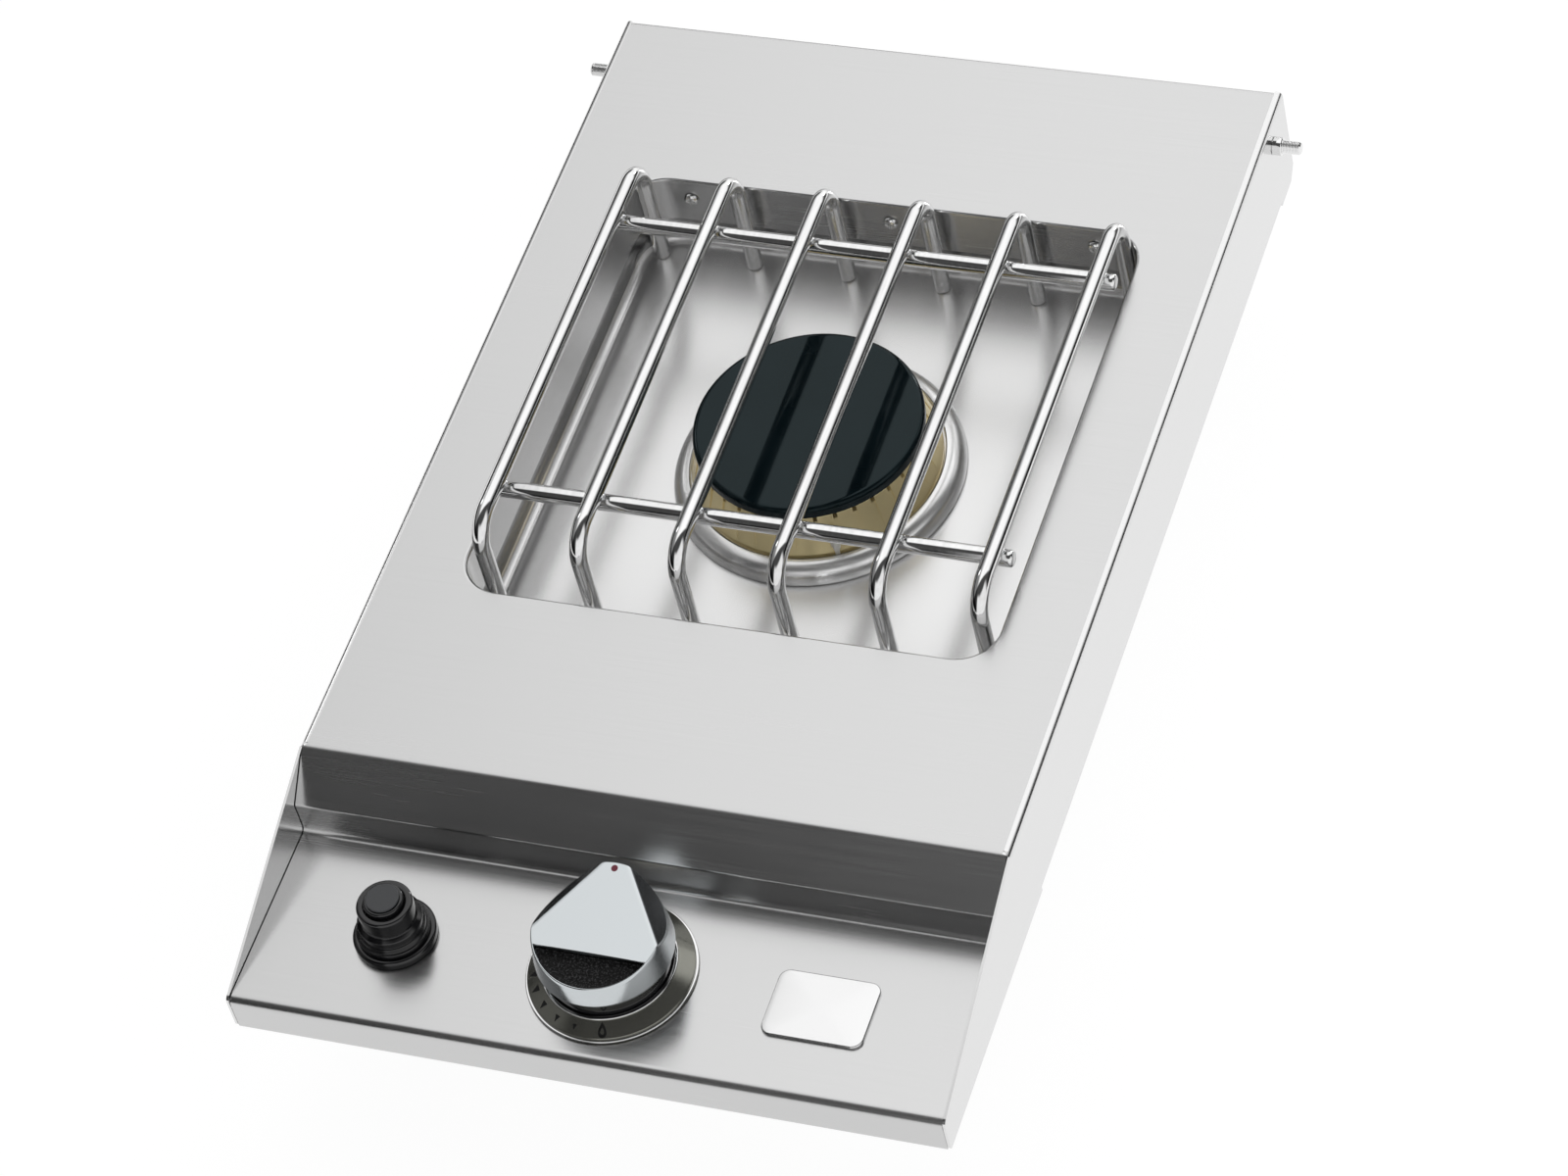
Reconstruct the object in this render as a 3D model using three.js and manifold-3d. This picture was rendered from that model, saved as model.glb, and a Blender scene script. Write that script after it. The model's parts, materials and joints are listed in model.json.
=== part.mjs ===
// Built-in side burner: a folded stainless top with a sunken well, a round-bar grate over a
// capped brass burner, and a control ledge with the gas valve's knob and a push-button igniter.
// Lengths are millimetres and angles degrees. +Z is up, +X is to the right of someone who faces
// the controls, and +Y runs to the back. Work starts from the front edge of the deck, in the
// middle of its upper face, and the last group moves that place over the part's own origin.
import * as THREE from 'three';
import { mergeVertices } from 'three/addons/utils/BufferGeometryUtils.js';
import Module from 'manifold-3d';

const wasm = await Module();
wasm.setup();

// Fits shared by all pieces
const seatGap = 0.3;
const cutOverrun = 5;

// Folded top: deck, side skirts, brow, riser, control ledge and front lip are one steel sheet
const deckWidth = 330;
const deckDepth = 449;
const sheet = 1.2;
const skirtDrop = 54.5;
const sideBendRadius = 3;
const browRun = 20.5;
const browDrop = 17.5;
const browBendRadius = 4;
const browFootRadius = 2.6;
const ledgeDrop = 35.4;
const ledgeDepth = 93.8;
const ledgeRearRadius = 1.6;
const ledgeFrontRadius = 4;
const cheekSeam = 0.8;
const hemWidth = 16;
const hemSetback = 22;
const skirtCornerCut = 6;
const rearSkirtInset = 4;

// Well: the opening in the deck and the drip pan that hangs round it
const openingWidth = 252;
const openingLength = 253.5;
const openingFront = 98;
const openingCorner = 19;
const openingLipDrop = 27;
const openingRimRadius = 1.5;
const panGap = 1.3;
const panWall = 1;
const panFloorDrop = 44;
const panFootRadius = 6;
const panHoleClearance = 4;
const panScrewDrop = 12;
const panScrewSpread = 100;

// Small pan-head screws
const screwShank = 2;
const screwHead = 3.6;
const screwHeadHeight = 2.1;
const screwHole = 2.4;

// Locating studs on the two side skirts
const studRadius = 3.2;
const studReach = 13.2;
const studShoulder = 4.4;
const studShoulderLength = 3.2;
const studTail = 8;
const studSetback = 21;
const studDrop = 14.3;
const studNutFlats = 5.5;
const studNutHeight = 5;

// Grate of round bars, bent down at both ends to stand on the pan
const barRadius = 3.97;
const barPitch = 47.1;
const barCount = 6;
const barEndClearance = 13.7;
const barSpan = openingLength - 2 * barEndClearance;
const barTop = 24.1;
const barBend = 14;
const grateShift = 4.3;
const crossInset = 31;
const crossEndClearance = 1;
const crossLength = openingWidth - 2 * crossEndClearance;

// Burner, turned pieces round the middle of the well: the mixing bowl's radius sets the others
const mixerRadius = 42;
const mixerWall = 3;
const mixerRimDrop = 31;
const mixerFootDrop = 83;
const mixerFlangeWidth = 15;
const mixerFlangeHeight = 3.6;
const burnerScrewInset = 8.5;
const burnerScrewAngles = [90, 210, 330];
const headSleeve = 4.6;
const headBore = mixerRadius + headSleeve;
const portWall = 6.4;
const headTopRadius = headBore + portWall;
const headFlare = 5.5;
const headFootRadius = headTopRadius + headFlare;
const headFootDrop = 36.6;
const headWall = 3;
const headFootHeight = 3;
const portCount = 36;
const portWidth = 1.9;
const portDepth = 2.8;
const capOverhang = 0.7;
const capRadius = headTopRadius + capOverhang;
const capTopDrop = 8;
const capEdge = 6.2;
const capBevel = 2.4;
const capWeb = 3.4;
const capLipWidth = 5.4;
const capRingClearance = 2.4;
const capRingRadius = headBore - capRingClearance;
const capRingWall = 2.4;
const capRingReach = 5.5;
const collarRise = 9;
const collarRound = 3;
const collarRimWidth = 6;
const collarGap = 0.9;
const collarBoreClearance = 2;

// Gas train under the deck: venturi, air shutter, orifice
const gasLineDrop = 66;
const socketRadius = 15.5;
const socketLength = 20;
const tubeRadius = 11;
const tubeWall = 1.4;
const bellRadius = 17;
const bellLength = 32;
const bellTaper = 16;
const windowLength = 15;
const windowInset = 7;
const windowAngle = 70;
const shutterWall = 1.2;
const shutterLength = 27;
const shutterTabHeight = 5;
const shutterTabWidth = 7;
const bracketWidth = 44;
const bracketSheet = 1.5;
const bracketFoot = 18;
const bracketSetback = 16;
const bracketReach = 16;

// Valve under the ledge; heights are measured from the ledge's upper face
const controlSetback = 46.8;
const valveRadius = 13;
const valveBore = 8.4;
const valveDepth = 48;
const seatTopDrop = 24;
const seatBottomDrop = 44.4;
const seatBottomRadius = 6.8;
const flangeWidth = 54;
const flangeLength = 28;
const flangeHeight = 3.8;
const valveScrewSpread = 18;
const bossRadius = 8;
const bossReach = 24;
const bossBore = 3.4;
const orificeFlats = 6.6;
const orificeHexLength = 6.6;
const nozzleRadius = 4;
const nozzleTip = 2.6;
const nozzleLength = 7;
const nozzleBore = 0.9;

// Valve stem, plug and return spring
const stemRadius = 4;
const stemTop = 26;
const stemFlat = 1.2;
const stemFlatLength = 16;
const stemCollar = 6.4;
const stemCollarHeight = 2.5;
const tangRadius = 3;
const tangReach = 27;
const plugClearance = 0.35;
const plugBoreDepth = 12.5;
const springWire = 0.6;
const springRadius = 4.8;
const springTurns = 5;

// Knob: a turned body cut by a sloping face, two side facets and a crescent finger pocket
const knobRadius = 31;
const knobNeckRadius = 27.9;
const knobNeckBottom = 6;
const knobSkirtBottom = 17.2;
const knobFaceHeight = 34.1;
const knobFaceSlope = 11.6;
const knobNoseHalfWidth = 5;
const knobNoseReach = 30.2;
const knobShoulderHalfWidth = 29.3;
const knobShoulderSetback = 5.5;
const knobFacetSlope = 42;
const knobRimRound = 1.4;
const pocketRadius = 28.6;
const pocketEdgeSetback = 12.9;
const pocketDepth = 5.5;
const gripLift = 1.6;
const knobHollowRadius = 24.4;
const knobHollowTop = 19;
const hubRadius = 8.5;
const hubClearance = 0.35;

// Bezel under the knob
const bezelRadius = 38;
const bezelEdge = 2.2;
const bezelRimTop = 7.6;
const bezelRimWidth = 1.3;
const bezelBore = 28.3;
const bezelFloor = 1.2;
const bezelStemHole = 9;

// Push-button igniter; heights are measured from the ledge's upper face
const igniterX = -101.5;
const igniterNeck = 11.2;
const igniterNeckTop = 11.5;
const igniterDepth = 58;
const batteryRadius = 5.2;
const batteryLength = 44;
const batteryPole = 1.9;
const batteryPoleHeight = 1.2;
const batteryBore = 5.8;
const ignitionBezel = 18.7;
const ignitionBezelHeight = 4.2;
const ignitionBezelEdge = 2.4;
const capFootRadius = 16.4;
const capShoulderRadius = 14.6;
const capCrownRadius = 12.6;
const capShoulderHeight = 12.5;
const capCrownHeight = 24.4;
const capStep = 0.9;
const capTopWall = 2.4;
const capBore = 9.4;
const buttonRadius = 9;
const buttonTop = 27;
const buttonFlange = 10.6;
const buttonFlangeHeight = 2;
const buttonFaceRadius = 7.5;
const buttonFaceHeight = 0.8;
const buttonWall = 1.6;
const buttonSpringRadius = 6.6;
const buttonSpringTurns = 4;
const lockNutFlats = 15;
const lockNutHeight = 5;
const terminalRadius = 1.5;
const terminalLength = 7;

// Spark electrode beside the burner's ports, and the lead to the igniter
const electrodeInset = 2.3;
const electrodeAngle = -63;
const ceramicRadius = 2.6;
const ceramicTopDrop = 27;
const ceramicFootDrop = 62;
const ceramicCollar = 4.6;
const ceramicCollarHeight = 4;
const sparkRadius = 0.8;
const sparkTopDrop = 18.5;
const sparkTail = 6;
const electrodeRelief = 4.2;
const clipRadius = 7.5;
const clipHeight = 1.4;
const bootRadius = 3.6;
const bootLength = 15;
const leadRadius = 1.5;

// Gas supply: pipe from the valve to the inlet at the back
const pipeRadius = 4.75;
const pipeWall = 1;
const pipeX = 95;
const pipeBend = 22;
const nutFlats = 9.5;
const nutLength = 12;
const inletFlats = 9;
const inletHexLength = 11;
const inletThread = 7;
const inletTail = 15;
const inletBore = 3.4;
const inletFlare = 2;
const inletNutFlats = 10.3;
const inletNutLength = 5;
const inletPlateWidth = 44;
const inletPlateTop = 14;
const inletPlateReach = 17;
const inletScrewSpread = 13;
const inletScrewDrop = 28;

// Places worked out from the sizes above
const wellY = openingFront + openingLength / 2;
const ledgeFrontY = -(browRun + ledgeDepth);
const controlY = -(browRun + controlSetback);
const barCentreTop = barTop - barRadius;
const wellBackY = openingFront + openingLength;
const mixerBottomZ = -mixerFootDrop;
const mixerFlange = mixerRadius + mixerFlangeWidth;
const burnerScrewCircle = mixerRadius + burnerScrewInset;
const collarRimRadius = headFootRadius + collarGap;
const collarRadius = collarRimRadius + collarRimWidth + collarRound;
const electrodeCircle = headFootRadius - electrodeInset;
const panBottomZ = -(panFloorDrop + panWall);

// Finishes
const finish = (color, roughness, metalness) => (
  new THREE.MeshStandardMaterial({ color, roughness, metalness })
);
const stainless = finish(0xb9bbbd, 0.34, 1);
const polished = finish(0xd2d4d6, 0.12, 1);
const satin = finish(0xc3c6c9, 0.3, 0.9);
const brass = finish(0xc9a24a, 0.3, 1);
const castAlloy = finish(0x9b9d9e, 0.55, 0.9);
const enamel = finish(0x14171a, 0.12, 0);
const blackPlastic = finish(0x0d0e10, 0.2, 0);
const gripRubber = finish(0x08090a, 0.8, 0);
const greyCap = finish(0x6b6d6f, 0.45, 0.4);
const ceramic = finish(0xe9e5da, 0.35, 0);
const leadRubber = finish(0x1a1a1c, 0.6, 0);
const zinc = finish(0xa6a8aa, 0.4, 1);
const cellWrap = finish(0x3c5a74, 0.4, 0.2);

// Solids

function signedVolume(position, index) {
  const [a, b, c] = [new THREE.Vector3(), new THREE.Vector3(), new THREE.Vector3()];
  let volume = 0;
  for (let i = 0; i < index.length; i += 3) {
    a.fromBufferAttribute(position, index[i]);
    b.fromBufferAttribute(position, index[i + 1]);
    c.fromBufferAttribute(position, index[i + 2]);
    volume += a.dot(b.cross(c));
  }
  return volume;
}

// A closed geometry becomes a solid: shared corners are merged, slivers without area at an axis
// are left out, and a surface that is wound inwards is turned round.
function solid(geometry) {
  const bare = geometry.clone();
  bare.deleteAttribute('normal');
  bare.deleteAttribute('uv');
  const merged = mergeVertices(bare);
  const triangles = [];
  const all = merged.index.array;
  for (let i = 0; i < all.length; i += 3) {
    const [a, b, c] = [all[i], all[i + 1], all[i + 2]];
    if (a !== b && b !== c && c !== a) {
      triangles.push(a, b, c);
    }
  }
  if (signedVolume(merged.attributes.position, triangles) < 0) {
    triangles.reverse();
  }
  return new wasm.Manifold(new wasm.Mesh({
    numProp: 3,
    vertProperties: new Float32Array(merged.attributes.position.array),
    triVerts: new Uint32Array(triangles),
  }));
}

function join(...pieces) {
  return pieces.reduce((whole, piece) => whole.add(piece));
}

function cut(piece, ...tools) {
  return tools.reduce((rest, tool) => rest.subtract(tool), piece);
}

function named(name, material, body, x = 0, y = 0, z = 0) {
  const { vertProperties, triVerts } = body.getMesh();
  const geometry = new THREE.BufferGeometry();
  geometry.setAttribute('position', new THREE.BufferAttribute(vertProperties.slice(), 3));
  geometry.setIndex(new THREE.BufferAttribute(triVerts.slice(), 1));
  geometry.computeVertexNormals();
  const mesh = new THREE.Mesh(geometry, material);
  mesh.name = name;
  mesh.position.set(x, y, z);
  return mesh;
}

// Forms

const radians = THREE.MathUtils.degToRad;

function block(xs, ys, zs) {
  const box = new THREE.BoxGeometry(xs[1] - xs[0], ys[1] - ys[0], zs[1] - zs[0]);
  box.translate((xs[0] + xs[1]) / 2, (ys[0] + ys[1]) / 2, (zs[0] + zs[1]) / 2);
  return solid(box);
}

function prism(shape, bottom, top, curveSegments = 3) {
  const options = { depth: top - bottom, bevelEnabled: false, curveSegments };
  return solid(new THREE.ExtrudeGeometry(shape, options).translate(0, 0, bottom));
}

// A turned piece: the outline is a closed list of [radius, height] about the Z axis.
function turned(outline, sides = 48) {
  const closed = [...outline, outline[0]].map(([radius, height]) => (
    new THREE.Vector2(radius, height)
  ));
  return solid(new THREE.LatheGeometry(closed, sides).rotateX(Math.PI / 2));
}

function disc(radius, bottom, top, sides = 32) {
  return turned([[0, bottom], [radius, bottom], [radius, top], [0, top]], sides);
}

function hexagon(flats, bottom, top) {
  return disc(flats / Math.cos(Math.PI / 6), bottom, top, 6);
}

// Points of a fillet about a centre, from one angle to another, on the [radius, height] plane
function arcPoints(u, v, radius, from, to, steps = 3) {
  const points = [];
  for (let i = 0; i <= steps; i += 1) {
    const angle = radians(from + (to - from) * i / steps);
    points.push([u + radius * Math.cos(angle), v + radius * Math.sin(angle)]);
  }
  return points;
}

function alongX(body) {
  return body.rotate([0, 90, 0]);
}

function alongY(body) {
  return body.rotate([-90, 0, 0]);
}

function roundedRectangle(width, length, corner) {
  const [x, y] = [width / 2 - corner, length / 2 - corner];
  const shape = new THREE.Shape();
  shape.absarc(x, y, corner, 0, Math.PI / 2);
  shape.absarc(-x, y, corner, Math.PI / 2, Math.PI);
  shape.absarc(-x, -y, corner, Math.PI, Math.PI * 1.5);
  shape.absarc(x, -y, corner, Math.PI * 1.5, Math.PI * 2);
  shape.closePath();
  return shape;
}

// A closed skin through level rings that all have the same count of points
function lofted(rings) {
  const count = rings[0].length;
  const corners = rings.flat().flatMap((point) => point.toArray());
  const index = [];
  for (let level = 0; level < rings.length - 1; level += 1) {
    for (let i = 0; i < count; i += 1) {
      const [a, b] = [level * count + i, level * count + (i + 1) % count];
      index.push(a, b, b + count, a, b + count, a + count);
    }
  }
  const last = (rings.length - 1) * count;
  for (let i = 1; i < count - 1; i += 1) {
    index.push(0, i + 1, i, last, last + i, last + i + 1);
  }
  const geometry = new THREE.BufferGeometry();
  geometry.setAttribute('position', new THREE.Float32BufferAttribute(corners, 3));
  geometry.setIndex(index);
  return solid(geometry);
}

// A path that keeps to the stations it is given, so straight runs need no extra rings
class StationPath extends THREE.Curve {
  constructor(stations) {
    super();
    this.stations = stations;
  }

  getPoint(t) {
    const place = t * (this.stations.length - 1);
    const i = Math.min(Math.floor(place), this.stations.length - 2);
    return this.stations[i].clone().lerp(this.stations[i + 1], place - i);
  }

  getPointAt(t) {
    return this.getPoint(t);
  }

  getTangentAt(t) {
    const last = this.stations.length - 1;
    const i = Math.round(t * last);
    const before = this.stations[Math.max(i - 1, 0)];
    const here = this.stations[i];
    const after = this.stations[Math.min(i + 1, last)];
    const into = here.clone().sub(before).normalize();
    const out = after.clone().sub(here).normalize();
    return into.add(out).normalize();
  }
}

function circle(radius, sides) {
  const shape = new THREE.Shape();
  for (let i = 0; i < sides; i += 1) {
    const angle = (i / sides) * Math.PI * 2;
    const [x, y] = [radius * Math.cos(angle), radius * Math.sin(angle)];
    if (i === 0) {
      shape.moveTo(x, y);
    } else {
      shape.lineTo(x, y);
    }
  }
  shape.closePath();
  return shape;
}

function swept(stations, section) {
  const path = new StationPath(stations);
  const options = { steps: stations.length - 1, extrudePath: path, bevelEnabled: false };
  return solid(new THREE.ExtrudeGeometry(section, options));
}

// Stations of a bent rod: corners are points, and each inner corner is rounded to a radius
function bentRoute(corners, bend, steps = 3) {
  const stations = [corners[0]];
  for (let i = 1; i < corners.length - 1; i += 1) {
    const into = corners[i].clone().sub(corners[i - 1]).normalize();
    const out = corners[i + 1].clone().sub(corners[i]).normalize();
    const half = into.angleTo(out) / 2;
    const reach = bend * Math.tan(half);
    const start = corners[i].clone().addScaledVector(into, -reach);
    const inward = out.clone().sub(into).normalize();
    const centre = corners[i].clone().addScaledVector(inward, bend / Math.cos(half));
    const first = start.clone().sub(centre);
    const axis = new THREE.Vector3().crossVectors(into, out).normalize();
    for (let k = 0; k <= steps; k += 1) {
      const turn = (2 * half * k) / steps;
      stations.push(first.clone().applyAxisAngle(axis, turn).add(centre));
    }
  }
  stations.push(corners[corners.length - 1]);
  return stations;
}

function helix(radius, wire, turns, bottom, top, turnSteps = 8, sides = 4) {
  const stations = [];
  for (let i = 0; i <= turns * turnSteps; i += 1) {
    const angle = (i / turnSteps) * Math.PI * 2;
    const z = bottom + wire + (top - bottom - 2 * wire) * i / (turns * turnSteps);
    stations.push(new THREE.Vector3(radius * Math.cos(angle), radius * Math.sin(angle), z));
  }
  return swept(stations, circle(wire, sides));
}

// Outline of a folded sheet: the upper face follows rounded corners, and the lower face is the
// same line moved by the sheet's thickness to its right-hand side.
function foldedSheet(corners, bends, thickness) {
  const line = bentPolyline(corners, bends);
  const upper = line.map(({ point }) => point);
  const lower = line.map(({ point, normal }) => (
    point.clone().addScaledVector(normal, thickness)
  ));
  return new THREE.Shape([...upper, ...lower.reverse()]);
}

function bentPolyline(corners, bends) {
  const line = [];
  const flat = (a, b) => b.clone().sub(a).normalize();
  const right = (way) => new THREE.Vector2(way.y, -way.x);
  line.push({ point: corners[0], normal: right(flat(corners[0], corners[1])) });
  for (let i = 1; i < corners.length - 1; i += 1) {
    const into = flat(corners[i - 1], corners[i]);
    const out = flat(corners[i], corners[i + 1]);
    const turn = Math.atan2(into.cross(out), into.dot(out));
    const bend = bends[i - 1];
    const reach = bend * Math.tan(Math.abs(turn) / 2);
    const start = corners[i].clone().addScaledVector(into, -reach);
    const side = right(into).multiplyScalar(-Math.sign(turn));
    const centre = start.clone().addScaledVector(side, bend);
    const steps = 3;
    for (let k = 0; k <= steps; k += 1) {
      const angle = (turn * k) / steps;
      const arm = start.clone().sub(centre).rotateAround(new THREE.Vector2(), angle);
      const way = into.clone().rotateAround(new THREE.Vector2(), angle);
      line.push({ point: arm.add(centre), normal: right(way) });
    }
  }
  const last = corners.length - 1;
  line.push({ point: corners[last], normal: right(flat(corners[last - 1], corners[last])) });
  return line;
}

function point(x, y, z) {
  return new THREE.Vector3(x, y, z);
}

function flatPoints(list) {
  return list.map(([u, v]) => new THREE.Vector2(u, v));
}

// Round the middle of the well, at an angle and a distance
function onCircle(radius, degrees) {
  return [radius * Math.cos(radians(degrees)), radius * Math.sin(radians(degrees))];
}

// Folded top

function openingRing(grow, z) {
  const shape = roundedRectangle(
    openingWidth + 2 * grow, openingLength + 2 * grow, openingCorner + grow,
  );
  return shape.getPoints(3).slice(0, -1).map(({ x, y }) => point(x, y + wellY, z));
}

function topShell() {
  const halfWidth = deckWidth / 2;
  const hem = -skirtDrop;
  const across = foldedSheet(
    flatPoints([
      [-(halfWidth - hemWidth), hem], [-halfWidth, hem], [-halfWidth, 0],
      [halfWidth, 0], [halfWidth, hem], [halfWidth - hemWidth, hem],
    ]),
    [sideBendRadius, sideBendRadius, sideBendRadius, sideBendRadius],
    sheet,
  );
  const bridge = prism(across, 0, deckDepth).rotate([90, 0, 0]).translate([0, deckDepth, 0]);
  const hemCuts = [[-cutOverrun, hemSetback], [deckDepth - hemSetback, deckDepth + cutOverrun]]
    .map((ys) => block(
      [-(halfWidth - sheet), halfWidth - sheet],
      ys,
      [hem - cutOverrun, hem + sheet + sideBendRadius],
    ));

  const strip = foldedSheet(
    flatPoints([
      [ledgeFrontY, hem], [ledgeFrontY, -ledgeDrop], [-browRun, -ledgeDrop],
      [-browRun, -browDrop], [0, 0], [browRun, 0],
    ]),
    [ledgeFrontRadius, ledgeRearRadius, browFootRadius, browBendRadius],
    sheet,
  );
  const halfStrip = halfWidth - sheet - cheekSeam;
  const front = prism(strip, -halfStrip, halfStrip).rotate([90, 0, 90]);

  const cheekOutline = new THREE.Shape(flatPoints([
    [browRun, -sideBendRadius], [0, -sideBendRadius / 2], [ledgeFrontY, -ledgeDrop],
    [ledgeFrontY, hem], [browRun, hem],
  ]));
  const cheek = prism(cheekOutline, -sheet, 0).rotate([90, 0, 90]);
  const cheeks = [cheek.translate([halfWidth, 0, 0]), cheek.translate([sheet - halfWidth, 0, 0])];

  const rearSkirt = block(
    [-(halfWidth - rearSkirtInset), halfWidth - rearSkirtInset],
    [deckDepth - sheet, deckDepth],
    [hem, -sheet / 2],
  );

  const lipOutside = roundedRectangle(
    openingWidth + 2 * sheet, openingLength + 2 * sheet, openingCorner + sheet,
  );
  const lip = prism(lipOutside, -openingLipDrop, -sheet / 2).translate([0, wellY, 0]);
  const rim = arcPoints(openingRimRadius, -openingRimRadius, openingRimRadius, 180, 90, 2);
  const opening = lofted([
    openingRing(0, -openingLipDrop - cutOverrun),
    ...rim.map(([grow, z]) => openingRing(grow, z)),
    openingRing(openingRimRadius, cutOverrun),
  ]);

  const cornerCut = alongX(disc(skirtCornerCut, -deckWidth, deckWidth, 4))
    .translate([0, deckDepth, hem]);
  const underLedge = [-ledgeDrop - cutOverrun, -ledgeDrop + cutOverrun];
  const stemHole = disc(bezelStemHole, ...underLedge).translate([0, controlY, 0]);
  const igniterHole = disc(igniterNeck + seatGap, ...underLedge)
    .translate([igniterX, controlY, 0]);
  const valveHoles = [-valveScrewSpread, valveScrewSpread].map((x) => (
    disc(screwHole, ...underLedge, 8).translate([x, controlY, 0])
  ));
  const studHoles = alongX(disc(studRadius + seatGap, -deckWidth, deckWidth, 10))
    .translate([0, deckDepth - studSetback, -studDrop]);
  const lipHoles = panScrewPlaces().map(([x, y]) => (
    alongY(disc(screwHole, -cutOverrun, cutOverrun, 12)).translate([x, y, -panScrewDrop])
  ));
  const inletHoles = [-inletScrewSpread, inletScrewSpread].map((x) => (
    alongY(disc(screwHole, -cutOverrun, cutOverrun, 12))
      .translate([pipeX + x, deckDepth, -inletScrewDrop])
  ));

  const folded = join(cut(bridge, ...hemCuts), front, ...cheeks, rearSkirt, lip);
  return cut(
    folded,
    opening, cornerCut, stemHole, igniterHole, ...valveHoles, studHoles, ...lipHoles,
    ...inletHoles,
  );
}

// Places of the screws that hold the pan to the back of the well's lip
function panScrewPlaces() {
  return [-panScrewSpread, 0, panScrewSpread].map((x) => [x, wellBackY]);
}

// The drip pan: straight walls outside the lip, and a floor with a rolled foot

function panRing(inset, z) {
  const corner = openingCorner + sheet + panGap - inset;
  const shape = roundedRectangle(
    openingWidth + 2 * (sheet + panGap - inset),
    openingLength + 2 * (sheet + panGap - inset),
    corner,
  );
  return shape.getPoints(2).slice(0, -1).map(({ x, y }) => point(x, y + wellY, z));
}

function drippedPan() {
  const top = -(sheet + seatGap);
  const inside = [panRing(0, top + cutOverrun), panRing(0, panFootRadius - panFloorDrop)];
  const outside = [panRing(-panWall, top), panRing(-panWall, panFootRadius - panFloorDrop)];
  const steps = 3;
  for (let k = 1; k <= steps; k += 1) {
    const angle = (Math.PI / 2) * k / steps;
    const [inset, drop] = [1 - Math.cos(angle), Math.sin(angle)];
    const z = panFootRadius - panFloorDrop;
    inside.push(panRing(panFootRadius * inset, z - panFootRadius * drop));
    const round = panFootRadius + panWall;
    outside.push(panRing(round * inset - panWall, z - round * drop));
  }
  const [sparkX, sparkY] = onCircle(electrodeCircle, electrodeAngle);
  const through = [panBottomZ - cutOverrun, cutOverrun - panFloorDrop];
  const screwHoles = burnerScrewAngles.map((angle) => {
    const [x, y] = onCircle(burnerScrewCircle, angle);
    return disc(screwHole, ...through, 8).translate([x, wellY + y, 0]);
  });
  const lipHoles = panScrewPlaces().map(([x, y]) => (
    alongY(disc(screwHole, -cutOverrun, cutOverrun, 12))
      .translate([x, y + sheet + panGap, -panScrewDrop])
  ));
  return cut(
    lofted(outside),
    lofted(inside),
    disc(mixerRadius + panHoleClearance, ...through, 28).translate([0, wellY, 0]),
    disc(ceramicRadius + seatGap, ...through, 8).translate([sparkX, wellY + sparkY, 0]),
    ...screwHoles,
    ...lipHoles,
  );
}

// A pan-head screw that points up, with the underside of its head at zero
function panHeadScrew(length) {
  return turned([
    [0, -screwHeadHeight], [screwHead * 0.62, -screwHeadHeight], [screwHead, -screwHeadHeight / 3],
    [screwHead, 0], [screwShank, 0], [screwShank, length], [0, length],
  ], 8);
}

function panScrews() {
  const length = sheet + panGap + panWall + screwHeadHeight + seatGap;
  const screw = alongY(panHeadScrew(length));
  return panScrewPlaces().map(([x, y], i) => (
    named(`pan_screw_${i + 1}`, zinc, screw, x, y - seatGap, -panScrewDrop)
  ));
}

// Locating studs with their nuts inside the skirts

function locatingStuds() {
  const outside = deckWidth / 2;
  const inner = -(sheet + studTail);
  const stud = alongX(turned([
    [0, inner], [studRadius, inner], [studRadius, seatGap], [studShoulder, seatGap],
    [studShoulder, studShoulderLength], [studRadius, studShoulderLength],
    [studRadius, studReach], [0, studReach],
  ], 10));
  const nut = alongX(cut(
    hexagon(studNutFlats, -studNutHeight, 0),
    disc(studRadius + seatGap, -studNutHeight - cutOverrun, cutOverrun, 10),
  ));
  const y = deckDepth - studSetback;
  return [['left', -1], ['right', 1]].flatMap(([side, way]) => {
    const turn = way > 0 ? [0, 0, 0] : [0, 0, 180];
    const nutX = way * (outside - sheet - seatGap);
    return [
      named(`locating_stud_${side}`, stainless, stud.rotate(turn), way * outside, y, -studDrop),
      named(`stud_nut_${side}`, zinc, nut.rotate(turn), nutX, y, -studDrop),
    ];
  });
}

// Grate

function grate() {
  const group = new THREE.Group();
  const foot = -panFloorDrop + seatGap;
  const shin = foot + barRadius;
  const sides = 8;
  const bow = swept(
    bentRoute([
      point(0, -barSpan / 2, shin), point(0, -barSpan / 2, barCentreTop),
      point(0, barSpan / 2, barCentreTop), point(0, barSpan / 2, shin),
    ], barBend),
    circle(barRadius, sides),
  );
  const tip = turned([
    [0, foot], [barRadius / 2, foot], [barRadius * 0.85, foot + barRadius / 4],
    [barRadius, foot + barRadius * 0.7], [barRadius, shin], [0, shin],
  ], sides);
  const feet = [-barSpan / 2, barSpan / 2].map((y) => tip.translate([0, y, 0]));
  const bar = join(bow, ...feet);
  for (let i = 0; i < barCount; i += 1) {
    const x = (i - (barCount - 1) / 2) * barPitch;
    group.add(named(`grate_bar_${i + 1}`, polished, bar, x));
  }
  const cross = alongX(disc(barRadius, -crossLength / 2, crossLength / 2, 12));
  const crossZ = barCentreTop - 2 * barRadius - seatGap;
  const crossY = barSpan / 2 - crossInset;
  group.add(named('grate_cross_rod_front', polished, cross, 0, -crossY, crossZ));
  group.add(named('grate_cross_rod_rear', polished, cross, 0, crossY, crossZ));
  group.position.set(0, wellY + grateShift, 0);
  return group;
}

// Burner, in a group whose origin is the middle of the well at the deck's height

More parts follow.
